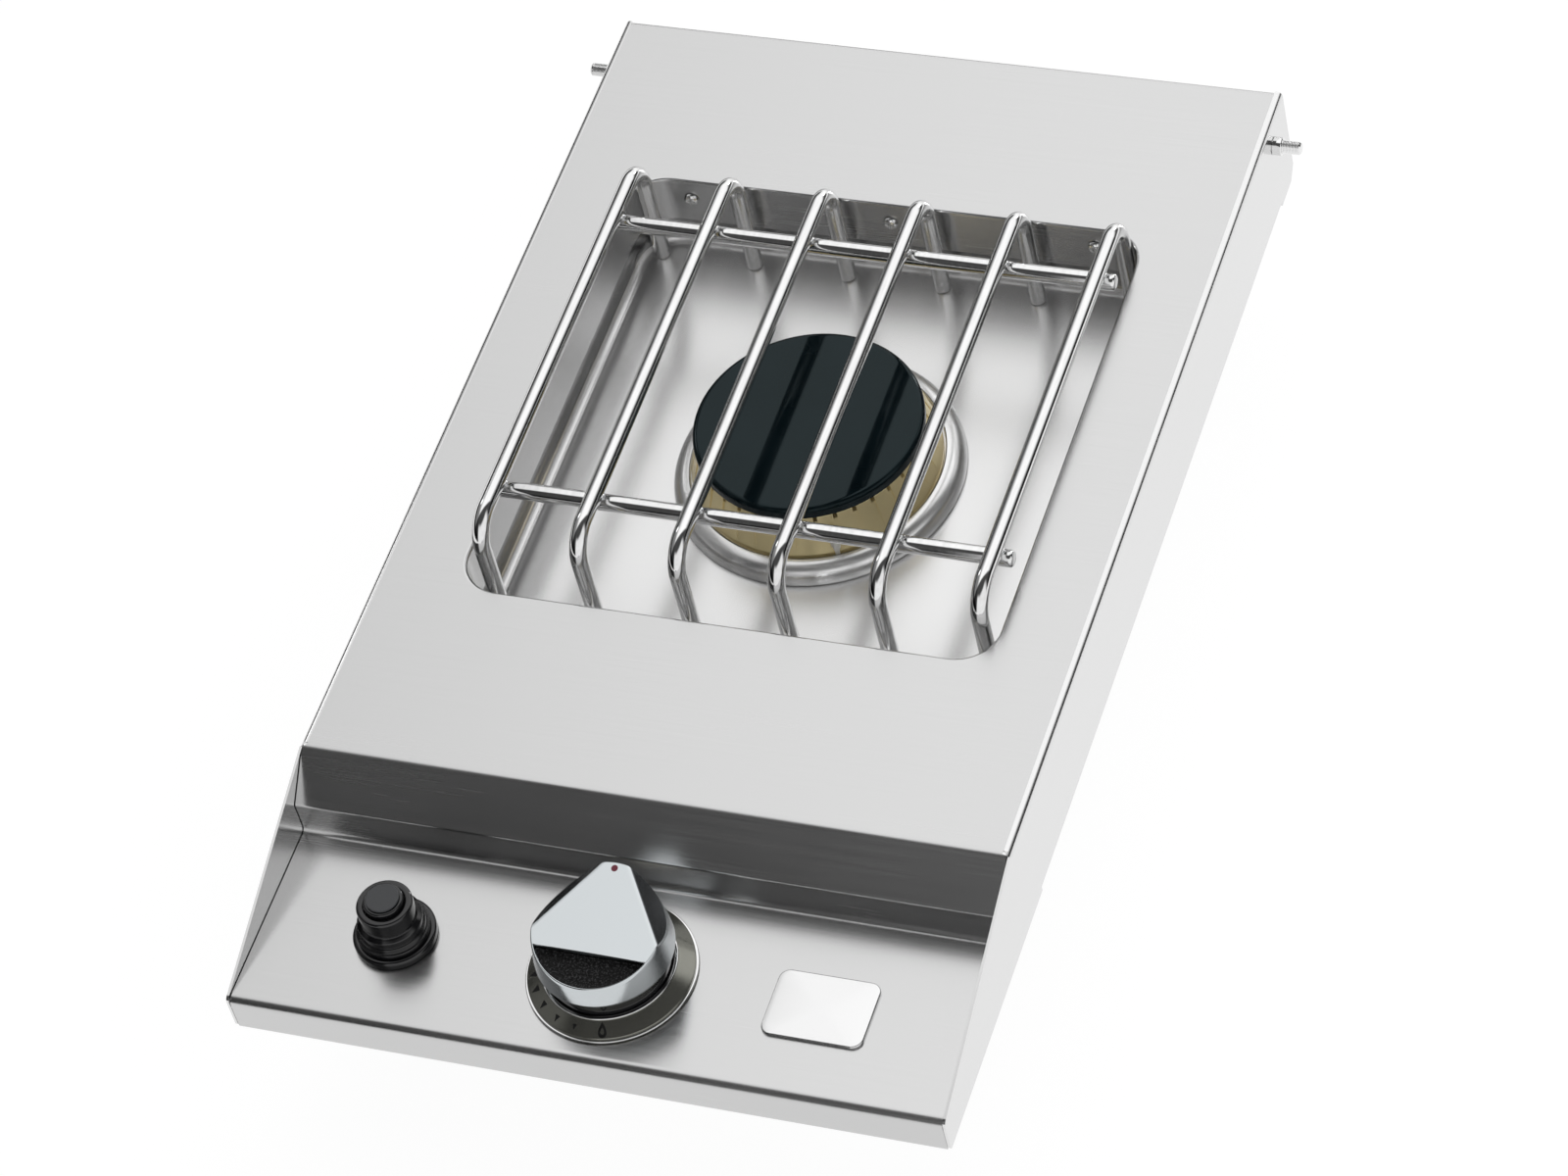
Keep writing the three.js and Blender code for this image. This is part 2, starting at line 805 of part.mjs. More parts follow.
function burnerCap() {
  const top = -capTopDrop;
  const foot = top - capEdge;
  const web = top - capWeb;
  const ringIn = capRingRadius - capRingWall;
  return turned([
    [0, top], [capRadius - capBevel, top], [capRadius, top - capBevel],
    [capRadius, foot], [capRadius - capLipWidth, foot], [capRadius - capLipWidth, web],
    [capRingRadius, web], [capRingRadius, foot - capRingReach], [ringIn, foot - capRingReach],
    [ringIn, web], [0, web],
  ], 32);
}

function burnerHead() {
  const top = -(capTopDrop + capEdge) - seatGap;
  const foot = -headFootDrop;
  const ring = turned([
    [headTopRadius, top], [headFootRadius, foot + headFootHeight], [headFootRadius, foot],
    [headFootRadius - 2 * headWall, foot], [headTopRadius - headWall, top - 2 * portDepth],
    [headBore + headWall, foot + headFootHeight], [headBore, foot + headFootHeight],
    [headBore, top],
  ], 36);
  const slot = block(
    [headBore - cutOverrun, headFootRadius + cutOverrun],
    [-portWidth / 2, portWidth / 2],
    [top - portDepth, top + cutOverrun],
  );
  const slots = [];
  for (let i = 0; i < portCount; i += 1) {
    slots.push(slot.rotate([0, 0, (360 * i) / portCount]));
  }
  const [x, y] = onCircle(electrodeCircle, electrodeAngle);
  const relief = disc(electrodeRelief, foot - cutOverrun, top - 2 * portDepth, 12)
    .translate([x, y, 0]);
  return cut(ring, ...slots, relief);
}

function burnerCollar() {
  const foot = -panFloorDrop + seatGap;
  const rim = foot + collarRise;
  const shelf = -headFootDrop - seatGap;
  const bore = mixerRadius + collarBoreClearance;
  const outline = [
    [bore, foot], [collarRadius, foot],
    ...arcPoints(collarRadius - collarRound, rim - collarRound, collarRound, 0, 90),
    [collarRimRadius + collarRound / 2, rim], [collarRimRadius, rim - collarRound / 2],
    [collarRimRadius, shelf], [bore, shelf],
  ];
  const [x, y] = onCircle(electrodeCircle, electrodeAngle);
  const holes = burnerScrewAngles.map((angle) => {
    const [u, v] = onCircle(burnerScrewCircle, angle);
    return disc(screwHole, foot - cutOverrun, shelf - screwHeadHeight, 8).translate([u, v, 0]);
  });
  return cut(
    turned(outline, 32),
    disc(ceramicRadius + seatGap, foot - cutOverrun, rim + cutOverrun, 12).translate([x, y, 0]),
    ...holes,
  );
}

// The mixing bowl: a cup with a flange under the pan and a socket for the venturi tube
function mixerBowl() {
  const flangeTop = panBottomZ - seatGap;
  const cup = turned([
    [0, mixerBottomZ], [mixerRadius, mixerBottomZ], [mixerRadius, flangeTop - mixerFlangeHeight],
    [mixerFlange, flangeTop - mixerFlangeHeight], [mixerFlange, flangeTop],
    [mixerRadius, flangeTop], [mixerRadius, -mixerRimDrop],
    [mixerRadius - mixerWall, -mixerRimDrop], [mixerRadius - mixerWall, mixerBottomZ + mixerWall],
    [0, mixerBottomZ + mixerWall],
  ], 28);
  const socketEnd = -(mixerRadius + socketLength);
  const socket = alongY(disc(socketRadius, socketEnd, -mixerRadius + mixerWall, 20))
    .translate([0, 0, -gasLineDrop]);
  const hollow = disc(mixerRadius - mixerWall, mixerBottomZ + mixerWall, 0, 28);
  const bore = alongY(disc(tubeRadius + seatGap, socketEnd - cutOverrun, 0, 20))
    .translate([0, 0, -gasLineDrop]);
  const [x, y] = onCircle(electrodeCircle, electrodeAngle);
  const relief = disc(clipRadius + seatGap, flangeTop - cutOverrun, flangeTop + cutOverrun, 16)
    .translate([x, y, 0]);
  const holes = burnerScrewAngles.map((angle) => {
    const [u, v] = onCircle(burnerScrewCircle, angle);
    return disc(screwHole, flangeTop - cutOverrun, flangeTop + cutOverrun, 8)
      .translate([u, v, 0]);
  });
  return cut(join(cup, cut(socket, hollow)), bore, relief, ...holes);
}

function burnerScrews() {
  const seat = panBottomZ - seatGap - mixerFlangeHeight - seatGap;
  const collarFoot = -panFloorDrop + seatGap;
  const length = collarFoot - seat + 2 * screwHeadHeight;
  return burnerScrewAngles.map((angle, i) => {
    const [x, y] = onCircle(burnerScrewCircle, angle);
    return named(`burner_screw_${i + 1}`, zinc, panHeadScrew(length), x, y, seat);
  });
}

function sparkElectrode() {
  const [x, y] = onCircle(electrodeCircle, electrodeAngle);
  const collarTop = panBottomZ - seatGap;
  const ceramicBore = sparkRadius + seatGap;
  const insulator = turned([
    [ceramicBore, -ceramicFootDrop], [ceramicRadius, -ceramicFootDrop],
    [ceramicRadius, collarTop - ceramicCollarHeight],
    [ceramicCollar, collarTop - ceramicCollarHeight], [ceramicCollar, collarTop],
    [ceramicRadius, collarTop], [ceramicRadius, -ceramicTopDrop - ceramicRadius / 3],
    [ceramicRadius * 0.7, -ceramicTopDrop], [ceramicBore, -ceramicTopDrop],
  ], 10);
  const spark = disc(sparkRadius, -ceramicFootDrop - sparkTail, -sparkTopDrop, 8);
  const clipTop = collarTop - ceramicCollarHeight - seatGap;
  const clip = cut(
    disc(clipRadius, clipTop - clipHeight, clipTop, 16),
    disc(ceramicRadius + seatGap, clipTop - clipHeight - cutOverrun, clipTop + cutOverrun, 12),
  );
  return [
    named('electrode_insulator', ceramic, insulator, x, y),
    named('electrode_wire', zinc, spark, x, y),
    named('electrode_clip', zinc, clip, x, y),
  ];
}

function burner() {
  const group = new THREE.Group();
  group.add(named('burner_cap', enamel, burnerCap()));
  group.add(named('burner_head', brass, burnerHead()));
  group.add(named('burner_collar', stainless, burnerCollar()));
  group.add(named('mixer_bowl', castAlloy, mixerBowl()));
  group.add(...burnerScrews(), ...sparkElectrode());
  group.position.set(0, wellY, 0);
  return group;
}

// Gas train, along Y at the height of the gas line; zero is the bell's front face

const bellFrontY = controlY + bossReach + seatGap + orificeHexLength + seatGap;

function ringSector(inner, outer, from, to, halfAngle) {
  const start = radians(-halfAngle);
  const sweep = radians(2 * halfAngle);
  const shape = new THREE.Shape();
  shape.absarc(0, 0, outer, start, start + sweep);
  shape.absarc(0, 0, inner, start + sweep, start, true);
  shape.closePath();
  return alongY(prism(shape, from, to));
}

function windows(inner, outer) {
  const half = windowAngle / 2;
  const one = ringSector(inner, outer, windowInset, windowInset + windowLength, half);
  return [one, one.rotate([0, 180, 0])];
}

function venturi() {
  const end = wellY - mixerRadius - bellFrontY - mixerWall;
  const throat = bellLength + bellTaper;
  const body = alongY(turned([
    [nozzleRadius + seatGap, 0], [bellRadius, 0], [bellRadius, bellLength],
    [tubeRadius, throat], [tubeRadius, end], [tubeRadius - tubeWall, end],
    [tubeRadius - tubeWall, throat], [bellRadius - tubeWall, bellLength],
    [bellRadius - tubeWall, tubeWall], [nozzleRadius + seatGap, tubeWall],
  ], 16));
  return cut(body, ...windows(tubeRadius / 2, bellRadius + cutOverrun));
}

function airShutter() {
  const bore = bellRadius + seatGap;
  const outer = bore + shutterWall;
  const sleeve = alongY(turned([
    [bore, seatGap], [outer, seatGap], [outer, shutterLength], [bore, shutterLength],
  ], 20));
  const tab = block(
    [-shutterTabWidth / 2, shutterTabWidth / 2],
    [shutterLength - shutterTabWidth, shutterLength],
    [bore + shutterWall / 3, outer + shutterTabHeight],
  );
  return cut(join(sleeve, tab), ...windows(tubeRadius, outer + cutOverrun));
}

function orifice() {
  const start = -(orificeHexLength + seatGap);
  const hex = hexagon(orificeFlats, start, -seatGap);
  const nozzle = turned([
    [0, -seatGap * 2], [nozzleRadius, -seatGap * 2], [nozzleRadius, nozzleLength * 0.6],
    [nozzleTip, nozzleLength], [0, nozzleLength],
  ], 12);
  const spigot = disc(bossBore, start - bossReach / 4, start + seatGap, 12);
  const passage = disc(nozzleBore, start - bossReach, nozzleLength + cutOverrun, 6);
  return alongY(cut(join(hex, nozzle, spigot), passage));
}

// Bracket that carries the venturi's tube from the front of the pan's floor
function venturiBracket() {
  const top = panBottomZ - seatGap + gasLineDrop;
  const half = bracketWidth / 2;
  const plate = block([-half, half], [0, bracketSheet], [-bracketReach, top]);
  const foot = block([-half, half], [0, bracketFoot], [top - bracketSheet, top]);
  const bore = alongY(disc(tubeRadius + seatGap, -cutOverrun, bracketFoot, 20));
  return cut(join(plate, foot), bore);
}

function gasTrain() {
  const group = new THREE.Group();
  group.add(named('venturi_tube', castAlloy, venturi()));
  group.add(named('air_shutter', zinc, airShutter()));
  group.add(named('orifice', brass, orifice()));
  const bracketY = openingFront + bracketSetback - bellFrontY;
  group.add(named('venturi_bracket', stainless, venturiBracket(), 0, bracketY));
  group.position.set(0, bellFrontY, -gasLineDrop);
  return group;
}

// Controls, in a group whose origin is on the ledge's upper face over the valve

function flangePlate(bottom, hole) {
  const plate = prism(
    roundedRectangle(flangeWidth, flangeLength, flangeLength / 4), bottom, bottom + flangeHeight, 2,
  );
  const screws = [-valveScrewSpread, valveScrewSpread].map((x) => (
    disc(screwHole, bottom - cutOverrun, bottom + flangeHeight + cutOverrun, 8)
      .translate([x, 0, 0])
  ));
  const centre = disc(hole, bottom - cutOverrun, bottom + flangeHeight + cutOverrun, 20);
  return cut(plate, centre, ...screws);
}

const bonnetBottom = -(sheet + seatGap + flangeHeight);
const valveTop = bonnetBottom - seatGap;

function valveBody() {
  const flange = flangePlate(valveTop - flangeHeight, valveBore);
  const gasZ = ledgeDrop - gasLineDrop;
  const barrel = disc(valveRadius, -valveDepth, valveTop - flangeHeight / 2, 20);
  const outlet = alongY(disc(bossRadius, 0, bossReach, 12)).translate([0, 0, gasZ]);
  const inlet = alongX(disc(bossRadius, 0, bossReach, 12)).translate([0, 0, gasZ]);
  const bore = turned([
    [0, -seatBottomDrop], [seatBottomRadius, -seatBottomDrop], [valveBore, -seatTopDrop],
    [valveBore, cutOverrun], [0, cutOverrun],
  ], 16);
  const passage = disc(bossBore + seatGap, 0, bossReach + cutOverrun, 8);
  const passages = [alongX(passage), alongY(passage)].map((way) => way.translate([0, 0, gasZ]));
  return cut(join(flange, barrel, outlet, inlet), bore, ...passages);
}

function valvePlug() {
  const [top, bottom] = [-seatTopDrop, -seatBottomDrop + plugClearance];
  const plug = turned([
    [0, bottom], [seatBottomRadius - plugClearance, bottom],
    [valveBore - plugClearance, top], [0, top],
  ], 16);
  const slot = disc(tangRadius + seatGap, top - plugBoreDepth, top + cutOverrun, 10);
  return cut(plug, slot);
}

function valveStem() {
  const collarTop = bonnetBottom - seatGap;
  const collarBottom = collarTop - stemCollarHeight;
  const stem = turned([
    [0, -tangReach], [tangRadius, -tangReach], [tangRadius, collarBottom],
    [stemCollar, collarBottom], [stemCollar, collarTop], [stemRadius, collarTop],
    [stemRadius, stemTop], [0, stemTop],
  ], 12);
  const flat = block(
    [-stemRadius - cutOverrun, stemRadius + cutOverrun],
    [stemRadius - stemFlat, stemRadius + cutOverrun],
    [stemTop - stemFlatLength, stemTop + cutOverrun],
  );
  return cut(stem, flat);
}

function returnSpring() {
  const collarBottom = bonnetBottom - seatGap - stemCollarHeight;
  return helix(
    springRadius, springWire, springTurns, -seatTopDrop + seatGap, collarBottom - seatGap,
  );
}

// The knob's sloping face at a distance behind the knob's axis
function faceHeight(y) {
  return knobFaceHeight + y * Math.tan(radians(knobFaceSlope));
}

// A block that removes all above the knob's sloping face, lowered by an amount
function aboveFace(lowered) {
  const reach = 2 * knobRadius;
  return block([-reach, reach], [-reach, reach], [0, reach])
    .rotate([knobFaceSlope, 0, 0])
    .translate([0, 0, knobFaceHeight - lowered]);
}

// A block that takes off one side of the knob, down and out from the edge of the pointer
function besideFacet(side) {
  const reach = 2 * knobRadius;
  const noseY = knobNoseReach;
  const shoulderY = -knobShoulderSetback;
  const run = Math.hypot(knobShoulderHalfWidth - knobNoseHalfWidth, noseY - shoulderY);
  const heading = THREE.MathUtils.radToDeg(
    Math.atan2(knobShoulderHalfWidth - knobNoseHalfWidth, noseY - shoulderY),
  );
  const pitch = THREE.MathUtils.radToDeg(
    Math.atan2(faceHeight(noseY) - faceHeight(shoulderY), run),
  );
  const tool = block([0, reach], [-reach, reach], [-reach, reach])
    .rotate([0, knobFacetSlope - 90, 0])
    .rotate([pitch, 0, 0])
    .rotate([0, 0, heading])
    .translate([knobShoulderHalfWidth, shoulderY, faceHeight(shoulderY)]);
  return side > 0 ? tool : tool.mirror([1, 0, 0]);
}

function pocketOutline(shrink) {
  const edge = -pocketEdgeSetback - shrink;
  const radius = pocketRadius - shrink;
  const half = Math.acos(-edge / radius);
  const shape = new THREE.Shape();
  shape.absarc(0, 0, radius, -Math.PI / 2 - half, -Math.PI / 2 + half);
  shape.closePath();
  return shape;
}

function pocketPrism(shrink, lowered) {
  const column = prism(pocketOutline(shrink), 0, 2 * knobRadius, 10);
  return [column, aboveFace(lowered)];
}

function knob() {
  const top = faceHeight(knobRadius) + knobRimRound;
  const body = turned([
    [0, knobNeckBottom], [knobNeckRadius, knobNeckBottom], [knobNeckRadius, knobSkirtBottom],
    [knobRadius - knobRimRound, knobSkirtBottom], [knobRadius, knobSkirtBottom + knobRimRound],
    [knobRadius, top], [0, top],
  ], 36);
  const hollow = turned([
    [hubRadius, 0], [knobHollowRadius, 0], [knobHollowRadius, knobHollowTop],
    [hubRadius, knobHollowTop],
  ], 20);
  const shaft = disc(stemRadius + hubClearance, 0, stemTop + hubClearance, 12);
  const [column, above] = pocketPrism(0, pocketDepth);
  return cut(
    body, aboveFace(0), besideFacet(1), besideFacet(-1), hollow, shaft, column.intersect(above),
  );
}

function knobGrip() {
  const [column, above] = pocketPrism(seatGap, pocketDepth - seatGap);
  return cut(column.intersect(above), aboveFace(pocketDepth - seatGap - gripLift));
}

function bezel() {
  const floorTop = seatGap + bezelFloor;
  const ring = turned([
    [bezelStemHole, seatGap], [bezelRadius, seatGap], [bezelRadius, bezelEdge],
    [bezelRadius - bezelEdge / 3, bezelEdge + bezelEdge / 4],
    [bezelBore + bezelRimWidth, bezelRimTop - bezelRimWidth / 2],
    [bezelBore + bezelRimWidth / 2, bezelRimTop], [bezelBore, bezelRimTop - bezelRimWidth / 2],
    [bezelBore, floorTop], [bezelStemHole, floorTop],
  ], 28);
  const holes = [-valveScrewSpread, valveScrewSpread].map((x) => (
    disc(screwHole, -cutOverrun, floorTop + cutOverrun, 8).translate([x, 0, 0])
  ));
  return cut(ring, ...holes);
}

function controls() {
  const group = new THREE.Group();
  group.add(named('valve_body', castAlloy, valveBody()));
  const bonnet = flangePlate(bonnetBottom, stemRadius + seatGap);
  group.add(named('valve_bonnet', zinc, bonnet));
  group.add(named('valve_plug', brass, valvePlug()));
  group.add(named('valve_stem', zinc, valveStem()));
  group.add(named('valve_spring', stainless, returnSpring()));
  group.add(named('knob', satin, knob()));
  group.add(named('knob_grip', gripRubber, knobGrip()));
  group.add(named('knob_bezel', stainless, bezel()));
  const seat = 2 * seatGap + bezelFloor;
  const reach = seat - valveTop + flangeHeight;
  [['left', -1], ['right', 1]].forEach(([side, way]) => {
    const screw = panHeadScrew(reach).rotate([180, 0, 0]);
    group.add(named(`valve_screw_${side}`, zinc, screw, way * valveScrewSpread, 0, seat));
  });
  group.position.set(0, controlY, -ledgeDrop);
  return group;
}

// Igniter, in a group whose origin is on the ledge's upper face over the battery

function igniterHousing() {
  const barrel = disc(igniterNeck, -igniterDepth, igniterNeckTop, 24);
  const bore = disc(
    batteryBore, igniterNeckTop - batteryLength - batteryPoleHeight - 4 * seatGap,
    igniterNeckTop + cutOverrun, 16,
  );
  const terminal = disc(terminalRadius, -igniterDepth - terminalLength, -igniterDepth + seatGap, 12)
    .translate([igniterNeck / 2, 0, 0]);
  return join(cut(barrel, bore), terminal);
}

function battery() {
  const bottom = igniterNeckTop - batteryLength - batteryPoleHeight - 3 * seatGap;
  const top = bottom + batteryLength;
  return turned([
    [0, bottom], [batteryRadius, bottom], [batteryRadius, top], [batteryPole, top],
    [batteryPole, top + batteryPoleHeight], [0, top + batteryPoleHeight],
  ], 14);
}

function igniterBezel() {
  const top = seatGap + ignitionBezelHeight;
  return turned([
    [igniterNeck + seatGap, seatGap], [ignitionBezel, seatGap],
    [ignitionBezel, top - ignitionBezelEdge / 2], [ignitionBezel - ignitionBezelEdge / 2, top],
    [igniterNeck + seatGap, top],
  ], 20);
}

function igniterCap() {
  const foot = 2 * seatGap + ignitionBezelHeight;
  const bore = igniterNeck + seatGap;
  const under = capCrownHeight - capTopWall;
  return turned([
    [bore, foot], [capFootRadius, foot], [capFootRadius, foot + 2 * capStep],
    [capFootRadius - capStep, foot + 3 * capStep], [capShoulderRadius, capShoulderHeight],
    [capShoulderRadius - capStep, capShoulderHeight + capStep],
    [capCrownRadius + capStep, capShoulderHeight + 2 * capStep],
    [capCrownRadius, capCrownHeight - 2 * capStep],
    [capCrownRadius - capStep, capCrownHeight], [capBore, capCrownHeight], [capBore, under],
    [bore, under],
  ], 20);
}

function igniterButton() {
  const flangeTop = capCrownHeight - capTopWall - seatGap;
  const flangeBottom = flangeTop - buttonFlangeHeight;
  return turned([
    [0, flangeBottom], [buttonFlange, flangeBottom], [buttonFlange, flangeTop],
    [buttonRadius, flangeTop], [buttonRadius, buttonTop - buttonWall / 2],
    [buttonRadius - buttonWall / 2, buttonTop], [0, buttonTop],
  ], 16);
}

function igniterFace() {
  const bottom = buttonTop + seatGap;
  return disc(buttonFaceRadius, bottom, bottom + buttonFaceHeight, 16);
}

function buttonSpring() {
  const top = capCrownHeight - capTopWall - buttonFlangeHeight - 2 * seatGap;
  return helix(
    buttonSpringRadius, springWire, buttonSpringTurns, igniterNeckTop + seatGap, top,
  );
}

function lockNut() {
  const top = -(sheet + seatGap);
  return cut(
    hexagon(lockNutFlats, top - lockNutHeight, top),
    disc(igniterNeck + seatGap, top - lockNutHeight - cutOverrun, top + cutOverrun, 24),
  );
}

function igniter() {
  const group = new THREE.Group();
  group.add(named('igniter_housing', blackPlastic, igniterHousing()));
  group.add(named('igniter_bezel', blackPlastic, igniterBezel()));
  group.add(named('igniter_cap', blackPlastic, igniterCap()));
  group.add(named('igniter_button', blackPlastic, igniterButton()));
  group.add(named('igniter_button_face', greyCap, igniterFace()));
  group.add(named('igniter_spring', stainless, buttonSpring()));
  group.add(named('igniter_lock_nut', zinc, lockNut()));
  group.add(named('igniter_battery', cellWrap, battery()));
  group.position.set(igniterX, controlY, -ledgeDrop);
  return group;
}

// The lead from the igniter to the electrode, with a boot on each end

function boot(pinRadius, gripLength) {
  const bottom = -bootLength + gripLength;
  const outline = [
    [0, bottom], [bootRadius * 0.7, bottom], [bootRadius, bottom + bootLength / 3],
    [bootRadius, gripLength], [0, gripLength],
  ];
  return cut(turned(outline, 12), disc(pinRadius + seatGap, -seatGap, gripLength + cutOverrun, 8));
}

function ignitionLead() {
  const [sparkX, sparkOffset] = onCircle(electrodeCircle, electrodeAngle);
  const sparkY = wellY + sparkOffset;
  const sparkEnd = -ceramicFootDrop - sparkTail;
  const sparkGrip = sparkTail - 2 * seatGap;
  const housingFoot = -ledgeDrop - igniterDepth - terminalLength;
  const pinGrip = terminalLength - 2 * seatGap;
  const pinX = igniterX + igniterNeck / 2;
  const leadStart = sparkEnd - bootLength + sparkGrip - seatGap;
  const leadEnd = housingFoot - bootLength + pinGrip - seatGap;
  const drop = 4 * leadRadius;
  const run = [
    point(sparkX, sparkY, leadStart),
    point(sparkX, sparkY, leadStart - drop),
    point(sparkX + 6 * leadRadius, openingFront - panFootRadius, leadStart - drop),
    point(sparkX + 6 * leadRadius, openingFront / 2, -ledgeDrop),
    point(-bellRadius, openingFront / 3, -ledgeDrop),
    point(pinX / 2, 0, leadEnd / 2),
    point(pinX, controlY + 2 * igniterNeck, leadEnd - drop),
    point(pinX, controlY, leadEnd - drop),
    point(pinX, controlY, leadEnd),
  ];
  const lead = swept(bentRoute(run, 3 * leadRadius, 2), circle(leadRadius, 6));
  return [
    named('electrode_boot', leadRubber, boot(sparkRadius, sparkGrip), sparkX, sparkY, sparkEnd),
    named('igniter_boot', leadRubber, boot(terminalRadius, pinGrip), pinX, controlY, housingFoot),
    named('ignition_lead', leadRubber, lead),
  ];
}

// Gas supply from the valve's side to the inlet at the back

function gasSupply() {
  const nutStart = bossReach + seatGap;
  const pipeStart = bossReach + 2 * seatGap;
  const plateBack = deckDepth - sheet - seatGap;
  const hexEnd = plateBack - bracketSheet - seatGap;
  const pipeEnd = hexEnd - inletHexLength - seatGap;
  const section = circle(pipeRadius, 8);
  section.holes.push(circle(pipeRadius - pipeWall, 8));
  const pipe = swept(bentRoute([
    point(pipeStart, controlY, 0), point(pipeX, controlY, 0), point(pipeX, pipeEnd, 0),
  ], pipeBend, 5), section);

  const nut = alongX(cut(
    hexagon(nutFlats, nutStart, nutStart + nutLength),
    disc(pipeRadius + seatGap, nutStart - cutOverrun, nutStart + nutLength + cutOverrun, 16),
  ));
  const fitting = alongY(cut(
    join(
      hexagon(inletFlats, -inletHexLength, 0),
      turned([
        [0, -seatGap], [inletThread, -seatGap], [inletThread, inletTail - inletFlare],
        [inletThread - inletFlare, inletTail], [0, inletTail],
      ], 16),
    ),
    disc(inletBore, -inletHexLength - cutOverrun, inletTail + cutOverrun, 12),
  ));
  const halfPlate = inletPlateWidth / 2;
  const plateHoles = [-inletScrewSpread, inletScrewSpread].map((x) => (
    alongY(disc(screwHole, -cutOverrun, cutOverrun, 12))
      .translate([x, 0, gasLineDrop - inletScrewDrop])
  ));
  const plate = cut(
    block(
      [-halfPlate, halfPlate], [-bracketSheet, 0], [-inletPlateReach, gasLineDrop - inletPlateTop],
    ),
    alongY(disc(inletThread + seatGap, -cutOverrun, cutOverrun, 16)),
    ...plateHoles,
  );
  const clampStart = deckDepth - sheet;
  const clamp = alongY(cut(
    hexagon(inletNutFlats, 0, inletNutLength),
    disc(inletThread + seatGap, -cutOverrun, inletNutLength + cutOverrun, 16),
  ));

  const group = new THREE.Group();
  group.add(named('supply_pipe', stainless, pipe));
  group.add(named('valve_inlet_nut', brass, nut, 0, controlY));
  group.add(named('gas_inlet_fitting', brass, fitting, pipeX, hexEnd));
  group.add(named('gas_inlet_nut', brass, clamp, pipeX, clampStart));
  group.add(named('gas_inlet_bracket', stainless, plate, pipeX, plateBack));
  [['left', -1], ['right', 1]].forEach(([side, way]) => {
    const screw = panHeadScrew(sheet + 2 * seatGap + bracketSheet + screwHeadHeight)
      .rotate([90, 0, 0]);
    const x = pipeX + way * inletScrewSpread;
    const z = gasLineDrop - inletScrewDrop;
    group.add(named(`inlet_screw_${side}`, zinc, screw, x, deckDepth + seatGap, z));
  });
  group.position.set(0, 0, -gasLineDrop);
  return group;
}

const assembly = new THREE.Group();
assembly.add(named('top_shell', stainless, topShell()));
assembly.add(named('drip_pan', stainless, drippedPan()));
assembly.add(...panScrews(), ...locatingStuds());
assembly.add(grate(), burner(), gasTrain(), controls(), igniter(), gasSupply());
assembly.add(...ignitionLead());

// The part's origin is the middle of the bottom of its bounding box.
const bounds = new THREE.Box3().setFromObject(assembly);
const middle = bounds.getCenter(new THREE.Vector3());
assembly.position.set(-middle.x, -middle.y, -bounds.min.z);

const part = new THREE.Group();
part.add(assembly);

export default part;
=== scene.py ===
# %% [markdown]
# # A built-in side burner
#
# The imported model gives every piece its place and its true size. Here each piece that shows is
# made again as a fine surface in the same place. The rest keep their form and get softened edges
# and a finish of their own. Shapes are in millimetres from a few origins read from the frame.

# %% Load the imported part
import json
import math

import bmesh
import bpy
import numpy as np
from mathutils import Matrix, Vector


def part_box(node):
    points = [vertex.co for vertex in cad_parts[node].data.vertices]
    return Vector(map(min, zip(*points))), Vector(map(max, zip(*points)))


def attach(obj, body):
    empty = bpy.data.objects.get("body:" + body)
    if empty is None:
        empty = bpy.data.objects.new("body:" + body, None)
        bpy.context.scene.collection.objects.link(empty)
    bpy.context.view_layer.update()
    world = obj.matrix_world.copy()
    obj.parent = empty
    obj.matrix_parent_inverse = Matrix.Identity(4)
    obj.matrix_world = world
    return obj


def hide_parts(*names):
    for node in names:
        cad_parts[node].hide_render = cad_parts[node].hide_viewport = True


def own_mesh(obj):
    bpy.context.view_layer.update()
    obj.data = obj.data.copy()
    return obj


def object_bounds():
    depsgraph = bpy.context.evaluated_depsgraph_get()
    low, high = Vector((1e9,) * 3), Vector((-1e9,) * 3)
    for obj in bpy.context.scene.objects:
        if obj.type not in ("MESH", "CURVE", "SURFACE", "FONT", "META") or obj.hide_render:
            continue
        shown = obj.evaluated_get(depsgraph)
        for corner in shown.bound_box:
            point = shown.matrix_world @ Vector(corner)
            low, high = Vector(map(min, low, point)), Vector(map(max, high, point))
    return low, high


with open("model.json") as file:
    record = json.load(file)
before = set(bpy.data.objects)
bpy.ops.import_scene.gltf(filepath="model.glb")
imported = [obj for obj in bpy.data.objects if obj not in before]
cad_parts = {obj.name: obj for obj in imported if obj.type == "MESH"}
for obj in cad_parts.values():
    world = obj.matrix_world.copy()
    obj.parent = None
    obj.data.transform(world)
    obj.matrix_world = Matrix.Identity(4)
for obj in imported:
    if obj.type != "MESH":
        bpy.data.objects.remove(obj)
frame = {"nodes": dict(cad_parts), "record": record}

cad_box = [list(corner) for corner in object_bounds()]
record = frame["record"]
body_of_node = {n: body for body, names in record["behaviour"]["bodies"].items() for n in names}
slot_of_node = {part["node"]: part["material_slot"] for part in record["subparts"]}

# %% [markdown]
# ## Origins
#
# Four places carry all the others: the deck's front edge, the middle of the well, the valve's
# axis and the igniter's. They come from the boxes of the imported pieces, so the finished pieces
# land exactly where the solids are.

# %% Origins in metres, read from the frame
MM, DECK_DEPTH, LEDGE_DROP = 0.001, 449.0, 35.4


def middle_of(node):
    """The middle of a node's box."""
    low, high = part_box(node)
    return np.array((low + high) / 2)


def on_axis_of(node, height):
    """The point at a height on the upright line through the middle of a node."""
    return np.array([*middle_of(node)[:2], height])


